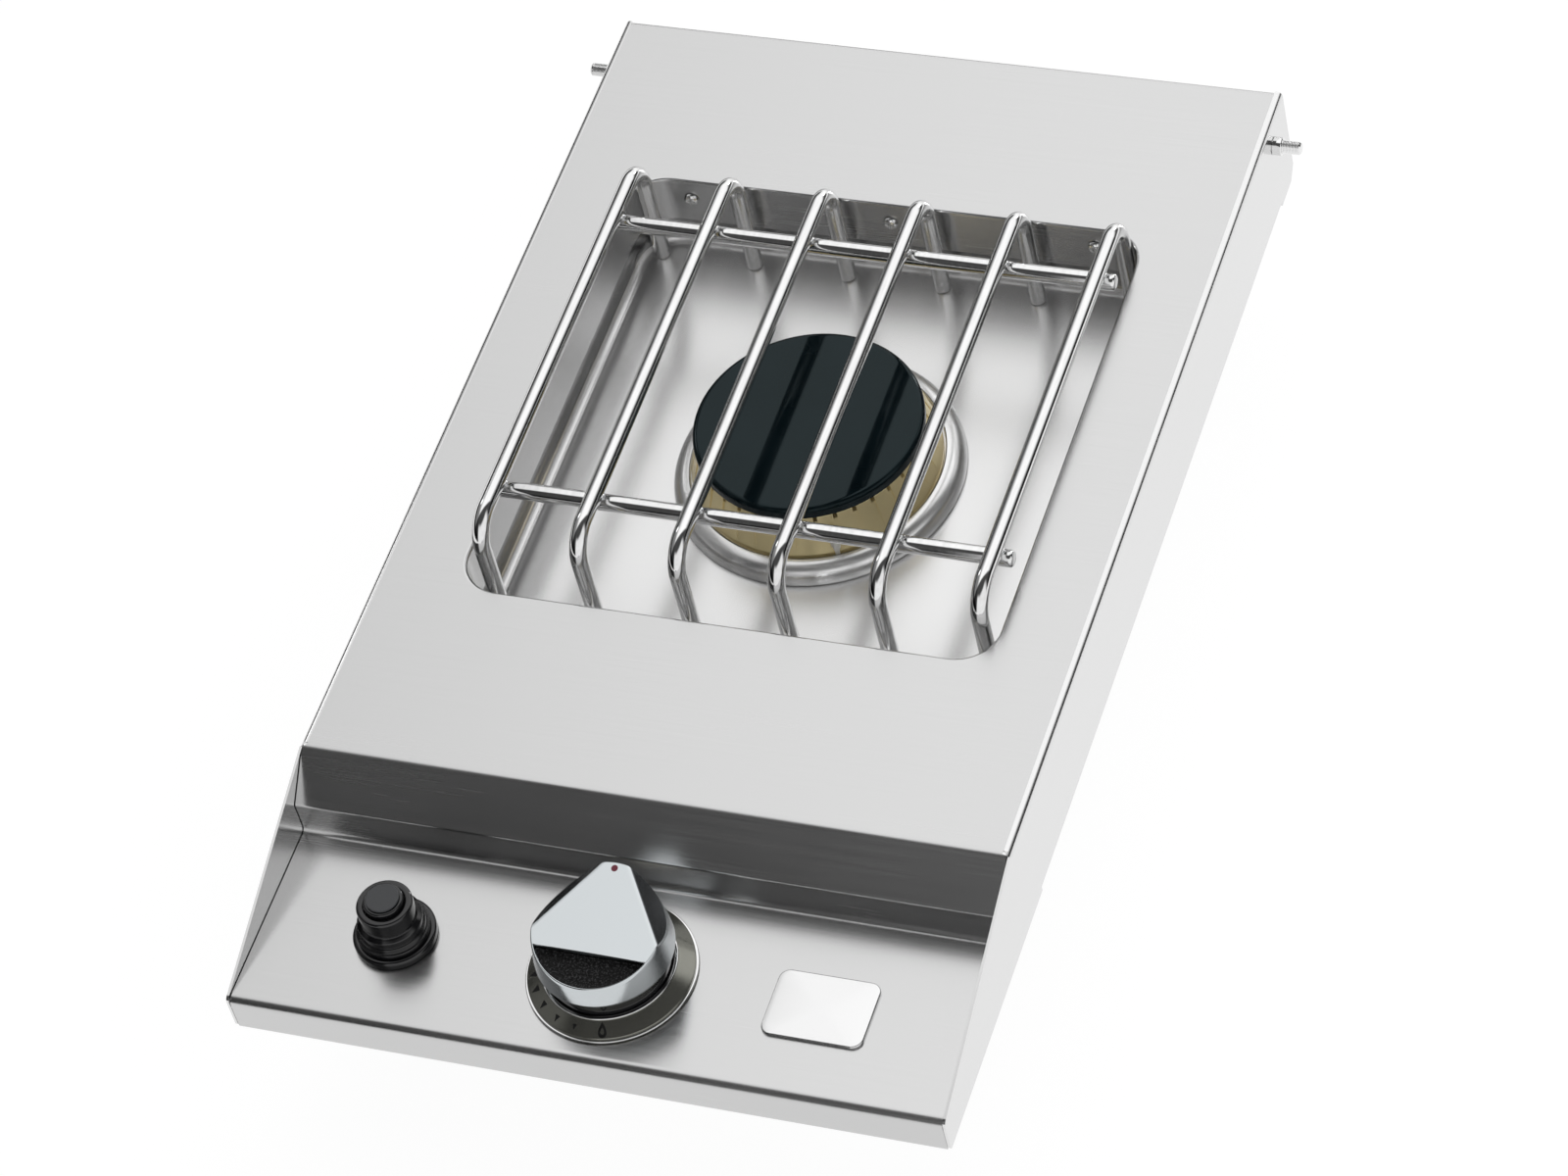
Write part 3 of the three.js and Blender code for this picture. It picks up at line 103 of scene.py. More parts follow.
shell_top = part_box("top_shell")[1]
deck_origin = np.array([0.0, shell_top.y - DECK_DEPTH * MM, shell_top.z])
well_origin = on_axis_of("burner_cap", shell_top.z)
knob_origin = on_axis_of("knob_bezel", shell_top.z - LEDGE_DROP * MM)
igniter_origin = on_axis_of("igniter_bezel", shell_top.z - LEDGE_DROP * MM)
print("deck origin", deck_origin.round(4), "knob origin", knob_origin.round(4))

# %% [markdown]
# ## Camera
#
# The photograph looks down on the part from the front right through a long lens, and the camera
# is rolled a little. A view is two directions: one from the object to the camera and one to the
# right of the picture. The third follows from them.

# %% Camera
CAMERA_OFFSET_MM = np.array([842.71, -1306.25, 1917.25])
TOWARDS_CAMERA = Vector((0.3242, -0.5653, 0.7585)).normalized()
PICTURE_RIGHT = Vector((0.9365, 0.3049, -0.1731))
LENS_MM = 131.3


def add_object(name, data):
    """An object of some data, in the scene."""
    new = bpy.data.objects.new(name, data)
    bpy.context.scene.collection.objects.link(new)
    return new


def aim_camera():
    """Places the camera, with its axes as the three columns of its matrix."""
    lens = bpy.data.cameras.new("camera")
    lens.lens, lens.sensor_width, lens.clip_start, lens.clip_end = LENS_MM, 36.0, 0.05, 50.0
    camera = add_object("camera", lens)
    up = TOWARDS_CAMERA.cross(PICTURE_RIGHT).normalized()
    turn = Matrix((up.cross(TOWARDS_CAMERA), up, TOWARDS_CAMERA)).transposed().to_4x4()
    camera.matrix_world = Matrix.Translation(deck_origin + CAMERA_OFFSET_MM * MM) @ turn
    bpy.context.scene.camera = camera
    print("camera at", [round(v, 3) for v in camera.location])


aim_camera()

# %% [markdown]
# ## Node graphs
#
# A material or a world is a small graph. This class adds nodes to one. An input takes a plain
# value, a socket or another node, so each graph below reads from top to bottom.

# %% A node graph
class Graph:
    """The nodes of a material or a world, empty unless it is to be kept."""

    def __init__(self, owner, keep=False):
        owner.use_nodes = True
        self.tree = owner.node_tree
        if not keep:
            self.tree.nodes.clear()

    def feed(self, socket, value):
        """Set a socket, or link it to a node's first output or to another socket."""
        if isinstance(value, bpy.types.Node):
            value = value.outputs[0]
        if isinstance(value, bpy.types.NodeSocket):
            self.tree.links.new(value, socket)
        else:
            socket.default_value = value

    def node(self, kind, inputs=None, **settings):
        """A new node with some of its settings and inputs filled in."""
        node = self.tree.nodes.new(kind)
        for name, value in settings.items():
            setattr(node, name, value)
        for name, value in (inputs or {}).items():
            self.feed(node.inputs[name], value)
        return node

    def math(self, operation, first, *others):
        """A sum, a product or the like, taken from left to right."""
        for other in others:
            first = self.node("ShaderNodeMath", {0: first, 1: other}, operation=operation)
        return first

    def fade(self, value, start, end, low=0.0, high=1.0):
        """A value that eases from low at start to high at end, and stays there beyond them."""
        limits = {"Value": value, "From Min": start, "From Max": end, "To Min": low,
                  "To Max": high}
        return self.node("ShaderNodeMapRange", limits, interpolation_type="SMOOTHSTEP")

    def noise(self, scales, detail=3.0):
        """Noise on Object coordinates, with its own scale on each axis, in cells a metre."""
        place = self.node("ShaderNodeTexCoord").outputs["Object"]
        scales = tuple(np.broadcast_to(scales, 3))
        stretched = self.node("ShaderNodeMapping", {"Vector": place, "Scale": scales})
        return self.node("ShaderNodeTexNoise",
                         {"Vector": stretched, "Scale": 1.0, "Detail": detail})

    def tint(self, value, tones, start=0.3, end=0.7):
        """A colour between two tones, chosen by a value."""
        ramp = self.node("ShaderNodeValToRGB", {"Fac": value})
        for element, place, tone in zip(ramp.color_ramp.elements, (start, end), tones):
            element.position, element.color = place, (*tone, 1.0)
        return ramp


# %% [markdown]
# ## Studio
#
# Bare steel has hardly any colour of its own: it shows the studio. Here the studio is a bright
# ceiling over the left and the back, and a dark card over the right and the front. The deck, the
# ledge and the crowns of the rods mirror the ceiling and are pale. The brow, the riser and the
# sides of the rods mirror the card and are dark. The camera sees plain white behind it all.

# %% World
CEILING, CARD, FILL, LEFT, HORIZON = 1.25, 0.07, 1.0, 0.2, 0.06
CARD_LEAN, CARD_EDGE, LEFT_EDGE = 0.72, (0.24, 0.02), (-0.27, -0.7)
HORIZON_HEIGHT, HORIZON_GAP, FRONT = (0.5, 0.2), (0.15, 0.38), (0.25, -0.05)
FILLS = ((0.1, 0.4), (0.82, 0.64)), ((-0.28, -0.1), (0.8, 0.62))
WHITE = (1.0, 1.0, 1.0, 1.0)


def make_world():
    """Light as a function of direction: x is to the right, y to the back and z up.

    The card's edge is a slanted line on the dome: y less CARD_LEAN times x. In front two fills,
    each with its limits in x and z, light the part from under the card. The horizon is dim on
    both sides of the middle. Each pair of limits is where a fade starts and where it ends."""
    world = bpy.data.worlds.new("studio")
    bpy.context.scene.world = world
    graph = Graph(world)
    math_of, fade = graph.math, graph.fade
    direction = graph.node("ShaderNodeTexCoord").outputs["Generated"]
    x, y, z = graph.node("ShaderNodeSeparateXYZ", {0: direction}).outputs
    slant = math_of("SUBTRACT", y, math_of("MULTIPLY", x, CARD_LEAN))
    card = math_of("MULTIPLY", fade(slant, *CARD_EDGE), CEILING - CARD)
    low = math_of("MULTIPLY", fade(z, *HORIZON_HEIGHT, 0.0, 1.0 - HORIZON),
                  fade(math_of("ABSOLUTE", x, 0.0), *HORIZON_GAP))
    light = math_of("MULTIPLY", math_of("SUBTRACT", CEILING, card),
                    fade(x, *LEFT_EDGE, 1.0, LEFT), math_of("SUBTRACT", 1.0, low))
    fills = [math_of("MULTIPLY", fade(x, *in_x), fade(z, *in_z)) for in_x, in_z in FILLS]
    filled = math_of("MULTIPLY", math_of("MAXIMUM", *fills), fade(y, *FRONT))
    missing = math_of("SUBTRACT", FILL, light)
    light = math_of("ADD", light, math_of("MULTIPLY", filled, missing))
    studio = graph.node("ShaderNodeBackground", {"Color": WHITE, "Strength": light})
    white = graph.node("ShaderNodeBackground", {"Color": WHITE, "Strength": 1.0})
    seen = graph.node("ShaderNodeLightPath").outputs["Is Camera Ray"]
    mix = graph.node("ShaderNodeMixShader", {0: seen, 1: studio, 2: white})
    graph.node("ShaderNodeOutputWorld", {"Surface": mix})


make_world()
bpy.context.scene.view_settings.view_transform = "Standard"
print("world set, view transform Standard")

# %% [markdown]
# ## Lamps and floor
#
# The ceiling does most of the work. Two small lamps, over the left rear and low behind the right,
# add the sharp lights on round edges. The floor is pale. What the camera and the mirrors see of
# it is nearly plain white, and the rest is its lit surface, so a faint shadow stays.

# %% Lamps and floor
FLOOR_GLOW, FLOOR_TINT, FLOOR_SIZE = 0.94, (0.8, 0.8, 0.8, 1.0), 8.0


def soft_lamp(name, place, size, power):
    """A square lamp that faces the well."""
    data = bpy.data.lights.new(name, "AREA")
    data.shape, data.size, data.energy = "SQUARE", size, power
    lamp = add_object(name, data)
    lamp.location = Vector(place)
    aim = Vector(well_origin) - lamp.location
    lamp.rotation_euler = aim.to_track_quat("-Z", "Y").to_euler()


def floor_material():
    """Mostly white where it is seen directly, a plain pale surface where it lights the part."""
    material = bpy.data.materials.new("pale_floor")
    graph = Graph(material)
    rays = graph.node("ShaderNodeLightPath").outputs
    seen = graph.math("ADD", rays["Is Camera Ray"], rays["Is Glossy Ray"],
                      rays["Is Transmission Ray"])
    plain = graph.node("ShaderNodeBsdfDiffuse", {"Color": FLOOR_TINT})
    share = 2 * (1.0 - FLOOR_GLOW)
    lit = graph.node("ShaderNodeBsdfDiffuse", {"Color": (share, share, share, 1.0)})
    glow = graph.node("ShaderNodeEmission", {"Color": WHITE, "Strength": FLOOR_GLOW})
    shown = graph.node("ShaderNodeAddShader", {0: lit, 1: glow})
    mix = graph.node("ShaderNodeMixShader",
                     {0: graph.math("MINIMUM", seen, 1.0), 1: plain, 2: shown})
    graph.node("ShaderNodeOutputMaterial", {"Surface": mix})
    return material


def make_floor():
    """One large square under the lowest piece."""
    half, level = FLOOR_SIZE / 2, cad_box[0][2] - MM
    mesh = bpy.data.meshes.new("floor")
    corners = [(x * half, y * half, level) for x, y in ((-1, -1), (1, -1), (1, 1), (-1, 1))]
    mesh.from_pydata(corners, [], [(0, 1, 2, 3)])
    mesh.materials.append(floor_material())
    floor = add_object("floor", mesh)


soft_lamp("left_lamp", (-1.5, 0.9, 1.3), 0.4, 1.0)
soft_lamp("right_lamp", (0.35, 1.75, 0.6), 0.2, 2.6)
make_floor()

# %% [markdown]
# ## Steel, brushed and polished
#
# Brushing leaves fine scratches that all run one way. They blur reflections across themselves
# and leave them sharper along themselves. The shader's anisotropy does that if its tangent lies
# across the scratches: the cross product of the face's normal and the direction of brushing.
# Single scratches are a noise stretched along the grain. One grain gives a finish its small
# changes of colour, roughness and relief together.

# %% Brushed and polished metal
GRAIN = {"x": (1.0, 0.0, 0.03), "y": (0.0, 1.0, 0.03), "z": (0.03, 0.0, 1.0)}
ALONG_GRAIN, ACROSS_GRAIN = 14.0, 2600.0


def finish(name, grain, tones, roughness, uneven, depth_mm, inputs, start=0.3, axis=None,
           strength=0.5):
    """A material whose tone, roughness and relief follow one value, made by grain(graph)."""
    material = bpy.data.materials.new(name)
    graph = Graph(material)
    value = grain(graph)
    rough = graph.fade(value, 0.3, 0.7, roughness * (1 - uneven), roughness * (1 + uneven))
    inputs |= {"Base Color": graph.tint(value, tones, start), "Roughness": rough}
    if axis:
        normal = graph.node("ShaderNodeNewGeometry").outputs["Normal"]
        inputs["Tangent"] = graph.node("ShaderNodeVectorMath", {0: normal, 1: GRAIN[axis]},
                                       operation="CROSS_PRODUCT")
    if depth_mm:
        inputs["Normal"] = graph.node(
            "ShaderNodeBump", {"Height": value, "Strength": strength, "Distance": depth_mm * MM})
    shader = graph.node("ShaderNodeBsdfPrincipled", inputs)
    graph.node("ShaderNodeOutputMaterial", {"Surface": shader})
    return material


def about(tone, contrast):
    """A tone, grey if it is one number, made darker and made lighter by a share."""
    tone = np.broadcast_to(tone, 3)
    return [np.minimum(tone * share, 1.0) for share in (1 - contrast, 1 + contrast)]


def brushed(name, tone, roughness, anisotropy, axis="x", depth_mm=0.0015, contrast=0.03,
            bare=1.0, uneven=0.15):
    """Brushed metal: scratches along the grain, reflections blurred across it.

    bare is the share of clean metal. The rest is dull, as where a pan has been scoured."""
    scales = np.array([ALONG_GRAIN if way == axis else ACROSS_GRAIN for way in "xyz"])

    def scratches(graph):
        parts = [(scales, 3.0, 0.5), (scales / 40, 2.0, 0.2), (9.0, 4.0, 0.3)]
        return graph.math("ADD", *[graph.math("MULTIPLY", graph.noise(scale, detail), share)
                                   for scale, detail, share in parts])

    return finish(name, scratches, about(tone, contrast), roughness, uneven, depth_mm,
                  {"Metallic": bare, "Anisotropic": anisotropy}, axis=axis)


def metal(name, tone, roughness, scale=900.0, depth_mm=0.01, contrast=0.06, bare=1.0,
          uneven=0.2):
    """Metal whose surface is the same in all directions: turned, plated, cast or polished."""
    return finish(name, lambda graph: graph.noise(scale), about(tone, contrast), roughness,
                  uneven, depth_mm, {"Metallic": bare}, strength=0.4)


steel_deck = brushed("brushed_deck", 0.61, 0.24, 0.7, contrast=0.045)
steel_side = brushed("brushed_side", 0.74, 0.17, 0.6, "y")
steel_pan = brushed("brushed_pan", 0.88, 0.26, 0.8, depth_mm=0.0, contrast=0.01, bare=0.75,
                    uneven=0.03)
# The pan walls' dark tone is painted shade.
shaded_wall_steel = brushed("pan_wall_painted_shade", 0.42, 0.2, 0.5, "z", depth_mm=0.0)
steel_plain = brushed("plain_sheet", 0.64, 0.28, 0.4, "y", contrast=0.08)
rod_steel = metal("polished_rod", 0.76, 0.1, (500.0, 60.0, 500.0), 0.0015, 0.05)
satin_metal = metal("satin_casting", (0.57, 0.60, 0.615), 0.15, depth_mm=0.004, contrast=0.02)
bezel_metal = metal("bezel_satin", (0.25, 0.25, 0.22), 0.13, depth_mm=0.002, bare=0.75)
bright_metal = metal("bright_plating", 0.80, 0.08, depth_mm=0.002, contrast=0.03)
pressed_steel = metal("pressed_satin", 0.88, 0.26, 90.0, 0.0, 0.015, bare=0.85, uneven=0.05)
plate_metal = metal("plate_satin", 0.78, 0.2, depth_mm=0.0, contrast=0.01)
zinc_metal = metal("zinc_plating", (0.62, 0.63, 0.64), 0.28, depth_mm=0.006, contrast=0.1)
cast_metal = metal("cast_alloy", (0.50, 0.51, 0.52), 0.5, 600.0, 0.06, 0.16)
brass_metal = metal("turned_brass", (1.0, 0.84, 0.47), 0.26, 60.0, 0.0, 0.01, 0.65, 0.02)
print("metals:", len(bpy.data.materials))

# %% [markdown]
# ## Enamel, plastic, rubber and ceramic
#
# These are not metals: a clear gloss lies over a colour. The enamel of the burner cap is a hard
# glass with a blue cast and a slight waviness, so the bars over it are mirrored in soft stripes.
# The igniter is gloss black moulding with a satin face on its button, and the knob's insert is a
# grained rubber.

# %% Coated and moulded materials
def coated(name, dark, light, roughness, scale=400.0, depth_mm=0.01, coat=0.0, gloss=0.5,
           start=0.3, cast=WHITE):
    """Anything that isn't metal: two close tones, a roughness and a fine relief."""
    inputs = {"Specular IOR Level": gloss, "Specular Tint": cast, "Coat Weight": coat,
              "Coat Roughness": 0.03}
    return finish(name, lambda graph: graph.noise(scale), (dark, light), roughness, 0.15,
                  depth_mm, inputs, start)


enamel = coated("black_enamel", (0.003, 0.007, 0.009), (0.006, 0.012, 0.015), 0.06, 34.0, 0.12,
                gloss=0.24, cast=(0.7, 0.95, 1.0, 1.0))
gloss_black = coated("gloss_black", (0.004, 0.004, 0.005), (0.008, 0.008, 0.009), 0.07, 300.0,
                     0.004, coat=0.25)
grip_black = coated("grip_rubber", (0.001, 0.001, 0.001), (0.07, 0.07, 0.073), 0.42, 1300.0, 0.8,
                    gloss=0.2, start=0.5)
button_grey = coated("button_grey", (0.05, 0.053, 0.057), (0.06, 0.063, 0.068), 0.4, 1200.0)
ceramic = coated("white_ceramic", (0.78, 0.76, 0.70), (0.84, 0.82, 0.77), 0.2, 200.0, coat=0.5)
lead_black = coated("lead_rubber", (0.012, 0.012, 0.013), (0.02, 0.02, 0.022), 0.5, 900.0, 0.02)
cell_blue = coated("cell_wrap", (0.03, 0.07, 0.13), (0.05, 0.10, 0.18), 0.3, 150.0)
print_black = coated("printed_black", (0.004, 0.004, 0.004), (0.007, 0.007, 0.007), 0.4)
print_red = coated("printed_red", (0.17, 0.006, 0.025), (0.21, 0.009, 0.032), 0.35)
print("materials:", len(bpy.data.materials))

# %% [markdown]
# ## From arrays to meshes
#
# A surface is a grid of points: rows along a profile, columns round it. Its faces join the same
# four neighbours everywhere, so one array gives them all. A closed surface must face outwards,
# and its signed volume tells which way it faces.

# %% Grids and meshes
def round_angles(count):
    """Angles of points that stand evenly round a circle."""
    return np.linspace(0, 2 * math.pi, count, endpoint=False)


def spun(radius, height, angles):
    """Points round the Z axis, as (r cos a, r sin a, z)."""
    radius, height, angles = np.broadcast_arrays(radius, height, angles)
    return np.stack([radius * np.cos(angles), radius * np.sin(angles), height], axis=-1)


def at_height(flat, z):
    """Flat points [x, y], each lifted to a height."""
    return np.column_stack([flat, np.broadcast_to(z, len(flat))])


def outward(points, face_lists):
    """The same faces, turned round where their volume, from every fan triangle, is negative."""
    volume = 0.0
    for faces in face_lists:
        first, second, third = points[faces[:, 0]], points[faces[:, 1:-1]], points[faces[:, 2:]]
        volume += np.einsum("ij,ikj->", first, np.cross(second, third))
    return [faces[:, ::-1] for faces in face_lists] if volume < 0 else face_lists


def surface(grid, wrap=False, cap=False):
    """A closed island from rows of points. The last row may meet the first, or both get caps."""
    grid = np.stack(grid)
    rows, columns = grid.shape[:2]
    i, j = np.meshgrid(np.arange(rows if wrap else rows - 1), np.arange(columns), indexing="ij")
    here, below = i * columns, (i + 1) % rows * columns
    after = (j + 1) % columns
    corners = [here + j, here + after, below + after, below + j]
    faces = [np.stack([corner.ravel() for corner in corners], axis=1)]
    if cap:
        ring = np.arange(columns)
        faces += [ring[None, ::-1], (rows - 1) * columns + ring[None]]
    points = grid.reshape(-1, 3)
    return points, outward(points, faces)


def write_smooth(work, mesh):
    """Write a worked mesh back, shaded smooth."""
    for face in work.faces:
        face.smooth = True
    work.to_mesh(mesh)
    work.free()


def close_poles(mesh):
    """Points that share a place become one, and faces left without area go."""
    work = bmesh.new()
    work.from_mesh(mesh)
    bmesh.ops.remove_doubles(work, verts=work.verts, dist=0.0004 * MM)
    bmesh.ops.dissolve_degenerate(work, edges=work.edges, dist=0.0002 * MM)
    write_smooth(work, mesh)


remade = set()


def make_piece(name, islands, origin, material, nodes, sharp_deg=38.0, body=None):
    """One object from islands in millimetres about an origin. It rides where its nodes ride."""
    mesh = bpy.data.meshes.new(name)
    points = np.concatenate([island[0] for island in islands]) * MM + origin
    starts = np.cumsum([0] + [len(island[0]) for island in islands])
    faces = [array + start for island, start in zip(islands, starts) for array in island[1]]
    corners = np.concatenate([array.ravel() for array in faces]).astype(np.int32)
    sizes = np.concatenate([np.full(len(array), array.shape[1]) for array in faces])
    loop_starts = np.concatenate([[0], np.cumsum(sizes)[:-1]]).astype(np.int32)
    mesh.vertices.add(len(points))
    mesh.vertices.foreach_set("co", points.ravel())
    mesh.loops.add(len(corners))
    mesh.loops.foreach_set("vertex_index", corners)
    mesh.polygons.add(len(sizes))
    mesh.polygons.foreach_set("loop_start", loop_starts)
    mesh.update(calc_edges=True)
    close_poles(mesh)
    mesh.set_sharp_from_angle(angle=math.radians(sharp_deg))
    mesh.materials.append(material)
    piece = add_object(name, mesh)
    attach(piece, body or body_of_node[nodes[0]])
    if nodes:
        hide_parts(*nodes)
    remade.update(nodes)
    return piece


# %% [markdown]
# ## Profiles
#
# Folded sheet and turned parts start as a list of corners. Each corner becomes an arc, and a
# shoulder point beside the arc keeps the flat beyond it flat when the mesh is shaded smooth.

# %% Rounded corners, in two or three dimensions
SHOULDER = 0.35


def unit(vector):
    """A vector of length one, or a row of them."""
    return vector / np.linalg.norm(vector, axis=-1, keepdims=True)


def bent(corners, bends, steps=8, closed=False):
    """A line through corners, each inner corner rounded to its radius.

    The arc starts a tangent length, radius times tan of half the turn, before the corner. Its
    centre lies on the bisector, and its points are the first arm turned step by step."""
    corners = np.asarray(corners, float)
    count = len(corners)
    bends = np.broadcast_to(bends, count if closed else count - 2)
    inner = range(count) if closed else range(1, count - 1)
    line = [] if closed else [corners[:1]]
    for bend, i in zip(bends, inner):
        before, here, after = corners[i - 1], corners[i], corners[(i + 1) % count]
        into, out = unit(here - before), unit(after - here)
        turn = math.acos(np.clip(into @ out, -1, 1))
        if bend <= 0 or turn < 1e-6:
            line.append(here[None])
            continue
        start = here - into * (bend * math.tan(turn / 2))
        centre = here + unit(out - into) * bend / math.cos(turn / 2)
        angles = np.linspace(0, turn, steps + 1)[:, None]
        arc = centre + (start - centre) * np.cos(angles) + into * bend * np.sin(angles)
        line += [start[None] - into * SHOULDER, arc, arc[-1:] + out * SHOULDER]
    if not closed:
        line.append(corners[-1:])
    return np.concatenate(line)


def folded(corners, bends, thickness, steps=10):
    """A closed outline of bent sheet: the line of its face, and that line moved to its right."""
    face = bent(corners, bends, steps)
    way = unit(np.gradient(face, axis=0))
    back = face + thickness * np.stack([way[:, 1], -way[:, 0]], axis=1)
    return np.concatenate([face, back[::-1]])


def turned(outline, bends=0.0, sides=96, steps=6, closed=False):
    """A turned surface: a profile of [radius, height] carried round the Z axis."""
    profile = bent(outline, bends, steps, closed)
    return surface(spun(profile[:, :1], profile[:, 1:], round_angles(sides)), wrap=closed)


def extruded(outline, start, end, axis):
    """A closed outline carried straight along X or Y, with flat ends."""
    along = np.broadcast_to(np.array([[start], [end]], float), (2, len(outline)))
    u, v = (np.broadcast_to(column, along.shape) for column in outline.T)
    order = (along, u, v) if axis == "x" else (u, along, v)
    return surface(np.stack(order, axis=-1), cap=True)


def moved(island, shift):
    """An island carried to another place."""
    return island[0] + np.asarray(shift, float), island[1]


def hoop(inner, outer, low, high, bends, sides):
    """A turned ring with four corners: inner and outer radius, low and high end."""
    return turned([(inner, low), (outer, low), (outer, high), (inner, high)], bends, sides,
                  closed=True)


def lying(island, axis):
    """A piece turned about Z, laid down so that its axis points along +Y, +X or -X."""
    x, y, z = island[0].T
    turns = {"+y": (x, z, -y), "+x": (z, y, -x), "-x": (-z, y, x)}
    return np.stack(turns[axis], axis=1), island[1]


# %% [markdown]
# ## Folded top
#
# The real top is one laser-cut sheet, and a press brake folds its skirts, brow, riser, ledge and
# lip. Here each fold is a profile with true bend radii, carried along the fold. The deck is one
# surface from the opening's rim out to the folds, which keeps the opening's corners smooth.

# %% Sizes of the sheet and the well
DECK_WIDTH, SHEET, SKIRT_DROP = 330.0, 1.2, 54.5
SIDE_BEND, REAR_BEND, EASE, JOIN = 3.0, 2.0, 0.5, 0.01
BROW_RUN, BROW_DROP, LEDGE_DEPTH = 20.5, 17.5, 93.8
FRONT_BENDS = (4.0, 1.8, 2.8, 4.0)
CHEEK_SEAM, HEM_WIDTH, HEM_SETBACK, REAR_INSET, CORNER_CUT = 0.35, 16.0, 22.0, 4.0, 6.0
OPENING_WIDTH, OPENING_LENGTH, OPENING_FRONT, OPENING_CORNER = 252.0, 253.5, 98.0, 19.0
LIP_DROP, RIM_ROUND, RIM_FLAT, SEAM_DEPTH = 27.0, 1.5, 6.0, 8.0
well_y = OPENING_FRONT + OPENING_LENGTH / 2
ledge_front = -(BROW_RUN + LEDGE_DEPTH)
half_deck = DECK_WIDTH / 2
brow_reach = FRONT_BENDS[0] * math.tan(math.atan2(BROW_DROP, BROW_RUN) / 2) + EASE


# %% Rings round the opening
def rounded_ring(half_x, half_y, corner, arc_steps=14, side_steps=10):
    """Points round a rectangle with round corners, and the outward direction at each."""
    quarter = np.linspace(0, math.pi / 2, arc_steps + 1)
    share = np.linspace(0, 1, side_steps + 2)[1:-1, None]
    centres = np.array([(1, 1), (-1, 1), (-1, -1), (1, -1)]) * [half_x - corner, half_y - corner]
    places, ways = [], []
    for k, (centre, following) in enumerate(zip(centres, np.roll(centres, -1, axis=0))):
        angle = quarter + k * math.pi / 2
        way = np.stack([np.cos(angle), np.sin(angle)], axis=1)
        side = centre + (following - centre) * share + corner * way[-1]
        places += [centre + corner * way, side]
        ways += [way, np.broadcast_to(way[-1], side.shape)]
    return np.concatenate(places), np.concatenate(ways)


def well_ring(grow=0.0):
    """The well's outline about its middle, wider all round by grow, and its directions."""
    return rounded_ring(OPENING_WIDTH / 2 + grow, OPENING_LENGTH / 2 + grow,
                        OPENING_CORNER + grow)


def opening_ring(grow, z):
    """The same outline where it lies in the deck, at a height."""
    return at_height(well_ring(grow)[0] + [0, well_y], z)


def edge_ring(half_x, front, back, z):
    """Where rays from the opening's rim meet the deck's straight edges.

    Each ring point goes outwards along its own direction until the nearer edge stops it, and the
    four points nearest to the deck's corners move onto them."""
    ring, way = well_ring()
    ring = ring + [0, well_y]
    limit = np.where(way > 0, [half_x, back], [-half_x, front])
    with np.errstate(divide="ignore", invalid="ignore"):
        reach = np.where(np.abs(way) > 1e-9, (limit - ring) / way, np.inf)
    edge = ring + way * reach.min(axis=1)[:, None]
    for corner in [(half_x, front), (half_x, back), (-half_x, front), (-half_x, back)]:
        edge[np.argmin(np.linalg.norm(edge - corner, axis=1))] = corner
    return at_height(edge, z)


# %% The deck, the folds, the cheeks and the skirts
def deck_island():
    """Rows from the deck's edge over the rim, down the lip, and back under the sheet."""
    edges = (half_deck - SIDE_BEND - EASE, brow_reach, DECK_DEPTH - REAR_BEND - EASE)
    rim = [(RIM_ROUND + RIM_ROUND * math.cos(a), RIM_ROUND * (math.sin(a) - 1))
           for a in np.linspace(math.pi / 2, math.pi, 7)]
    rings = [opening_ring(grow, z) for grow, z in [
        (RIM_ROUND + RIM_FLAT, 0.0), (RIM_ROUND + SHOULDER, 0.0), *rim,
        (0, -RIM_ROUND - SHOULDER), (0, -LIP_DROP), (SHEET, -LIP_DROP),
        (SHEET, -SHEET - SHOULDER), (SHEET + SHOULDER, -SHEET)]]
    return surface([edge_ring(*edges, 0.0), *rings, edge_ring(*edges, -SHEET)], wrap=True)


def side_islands(side):
    """One side: the bend along the deck, the skirt with its cheek, and the hem turned in."""
    half, foot, reach = half_deck, -SKIRT_DROP, SIDE_BEND + EASE
    hem_end = DECK_DEPTH - HEM_SETBACK
    bend = folded([(half - reach + JOIN, 0), (half, 0), (half, -reach + JOIN)], [SIDE_BEND], SHEET)
    hem = folded([(half, foot + reach - JOIN), (half, foot), (half - HEM_WIDTH, foot)],
                 [SIDE_BEND], SHEET)
    plate = bent([
        (0, -reach), (DECK_DEPTH, -reach), (DECK_DEPTH, foot + CORNER_CUT),
        (DECK_DEPTH - CORNER_CUT, foot), (hem_end, foot), (hem_end, foot + reach),
        (HEM_SETBACK, foot + reach), (HEM_SETBACK, foot), (ledge_front, foot),
        (ledge_front, -LEDGE_DROP), (0, -SHEET),
    ], [0, 0, 0, 0, 0, 0, 0, 0, 1.5, 3.0, 0], 6, closed=True)
    islands = [extruded(bend, 0, DECK_DEPTH, "y"), extruded(hem, HEM_SETBACK, hem_end, "y"),
               extruded(plate, half - SHEET, half, "x")]
    if side > 0:
        return islands
    mirrored = [(points * [-1, 1, 1], faces) for points, faces in islands]
    return [(points, outward(points, faces)) for points, faces in mirrored]


def front_island():
    """Brow, riser, ledge and lip: one profile of [y, z], carried across the top."""
    half = half_deck - SHEET - CHEEK_SEAM
    profile = folded([
        (brow_reach - JOIN, 0), (0, 0), (-BROW_RUN, -BROW_DROP), (-BROW_RUN, -LEDGE_DROP),
        (ledge_front, -LEDGE_DROP), (ledge_front, -SKIRT_DROP),
    ], FRONT_BENDS, -SHEET)
    return extruded(profile, -half, half, "x")


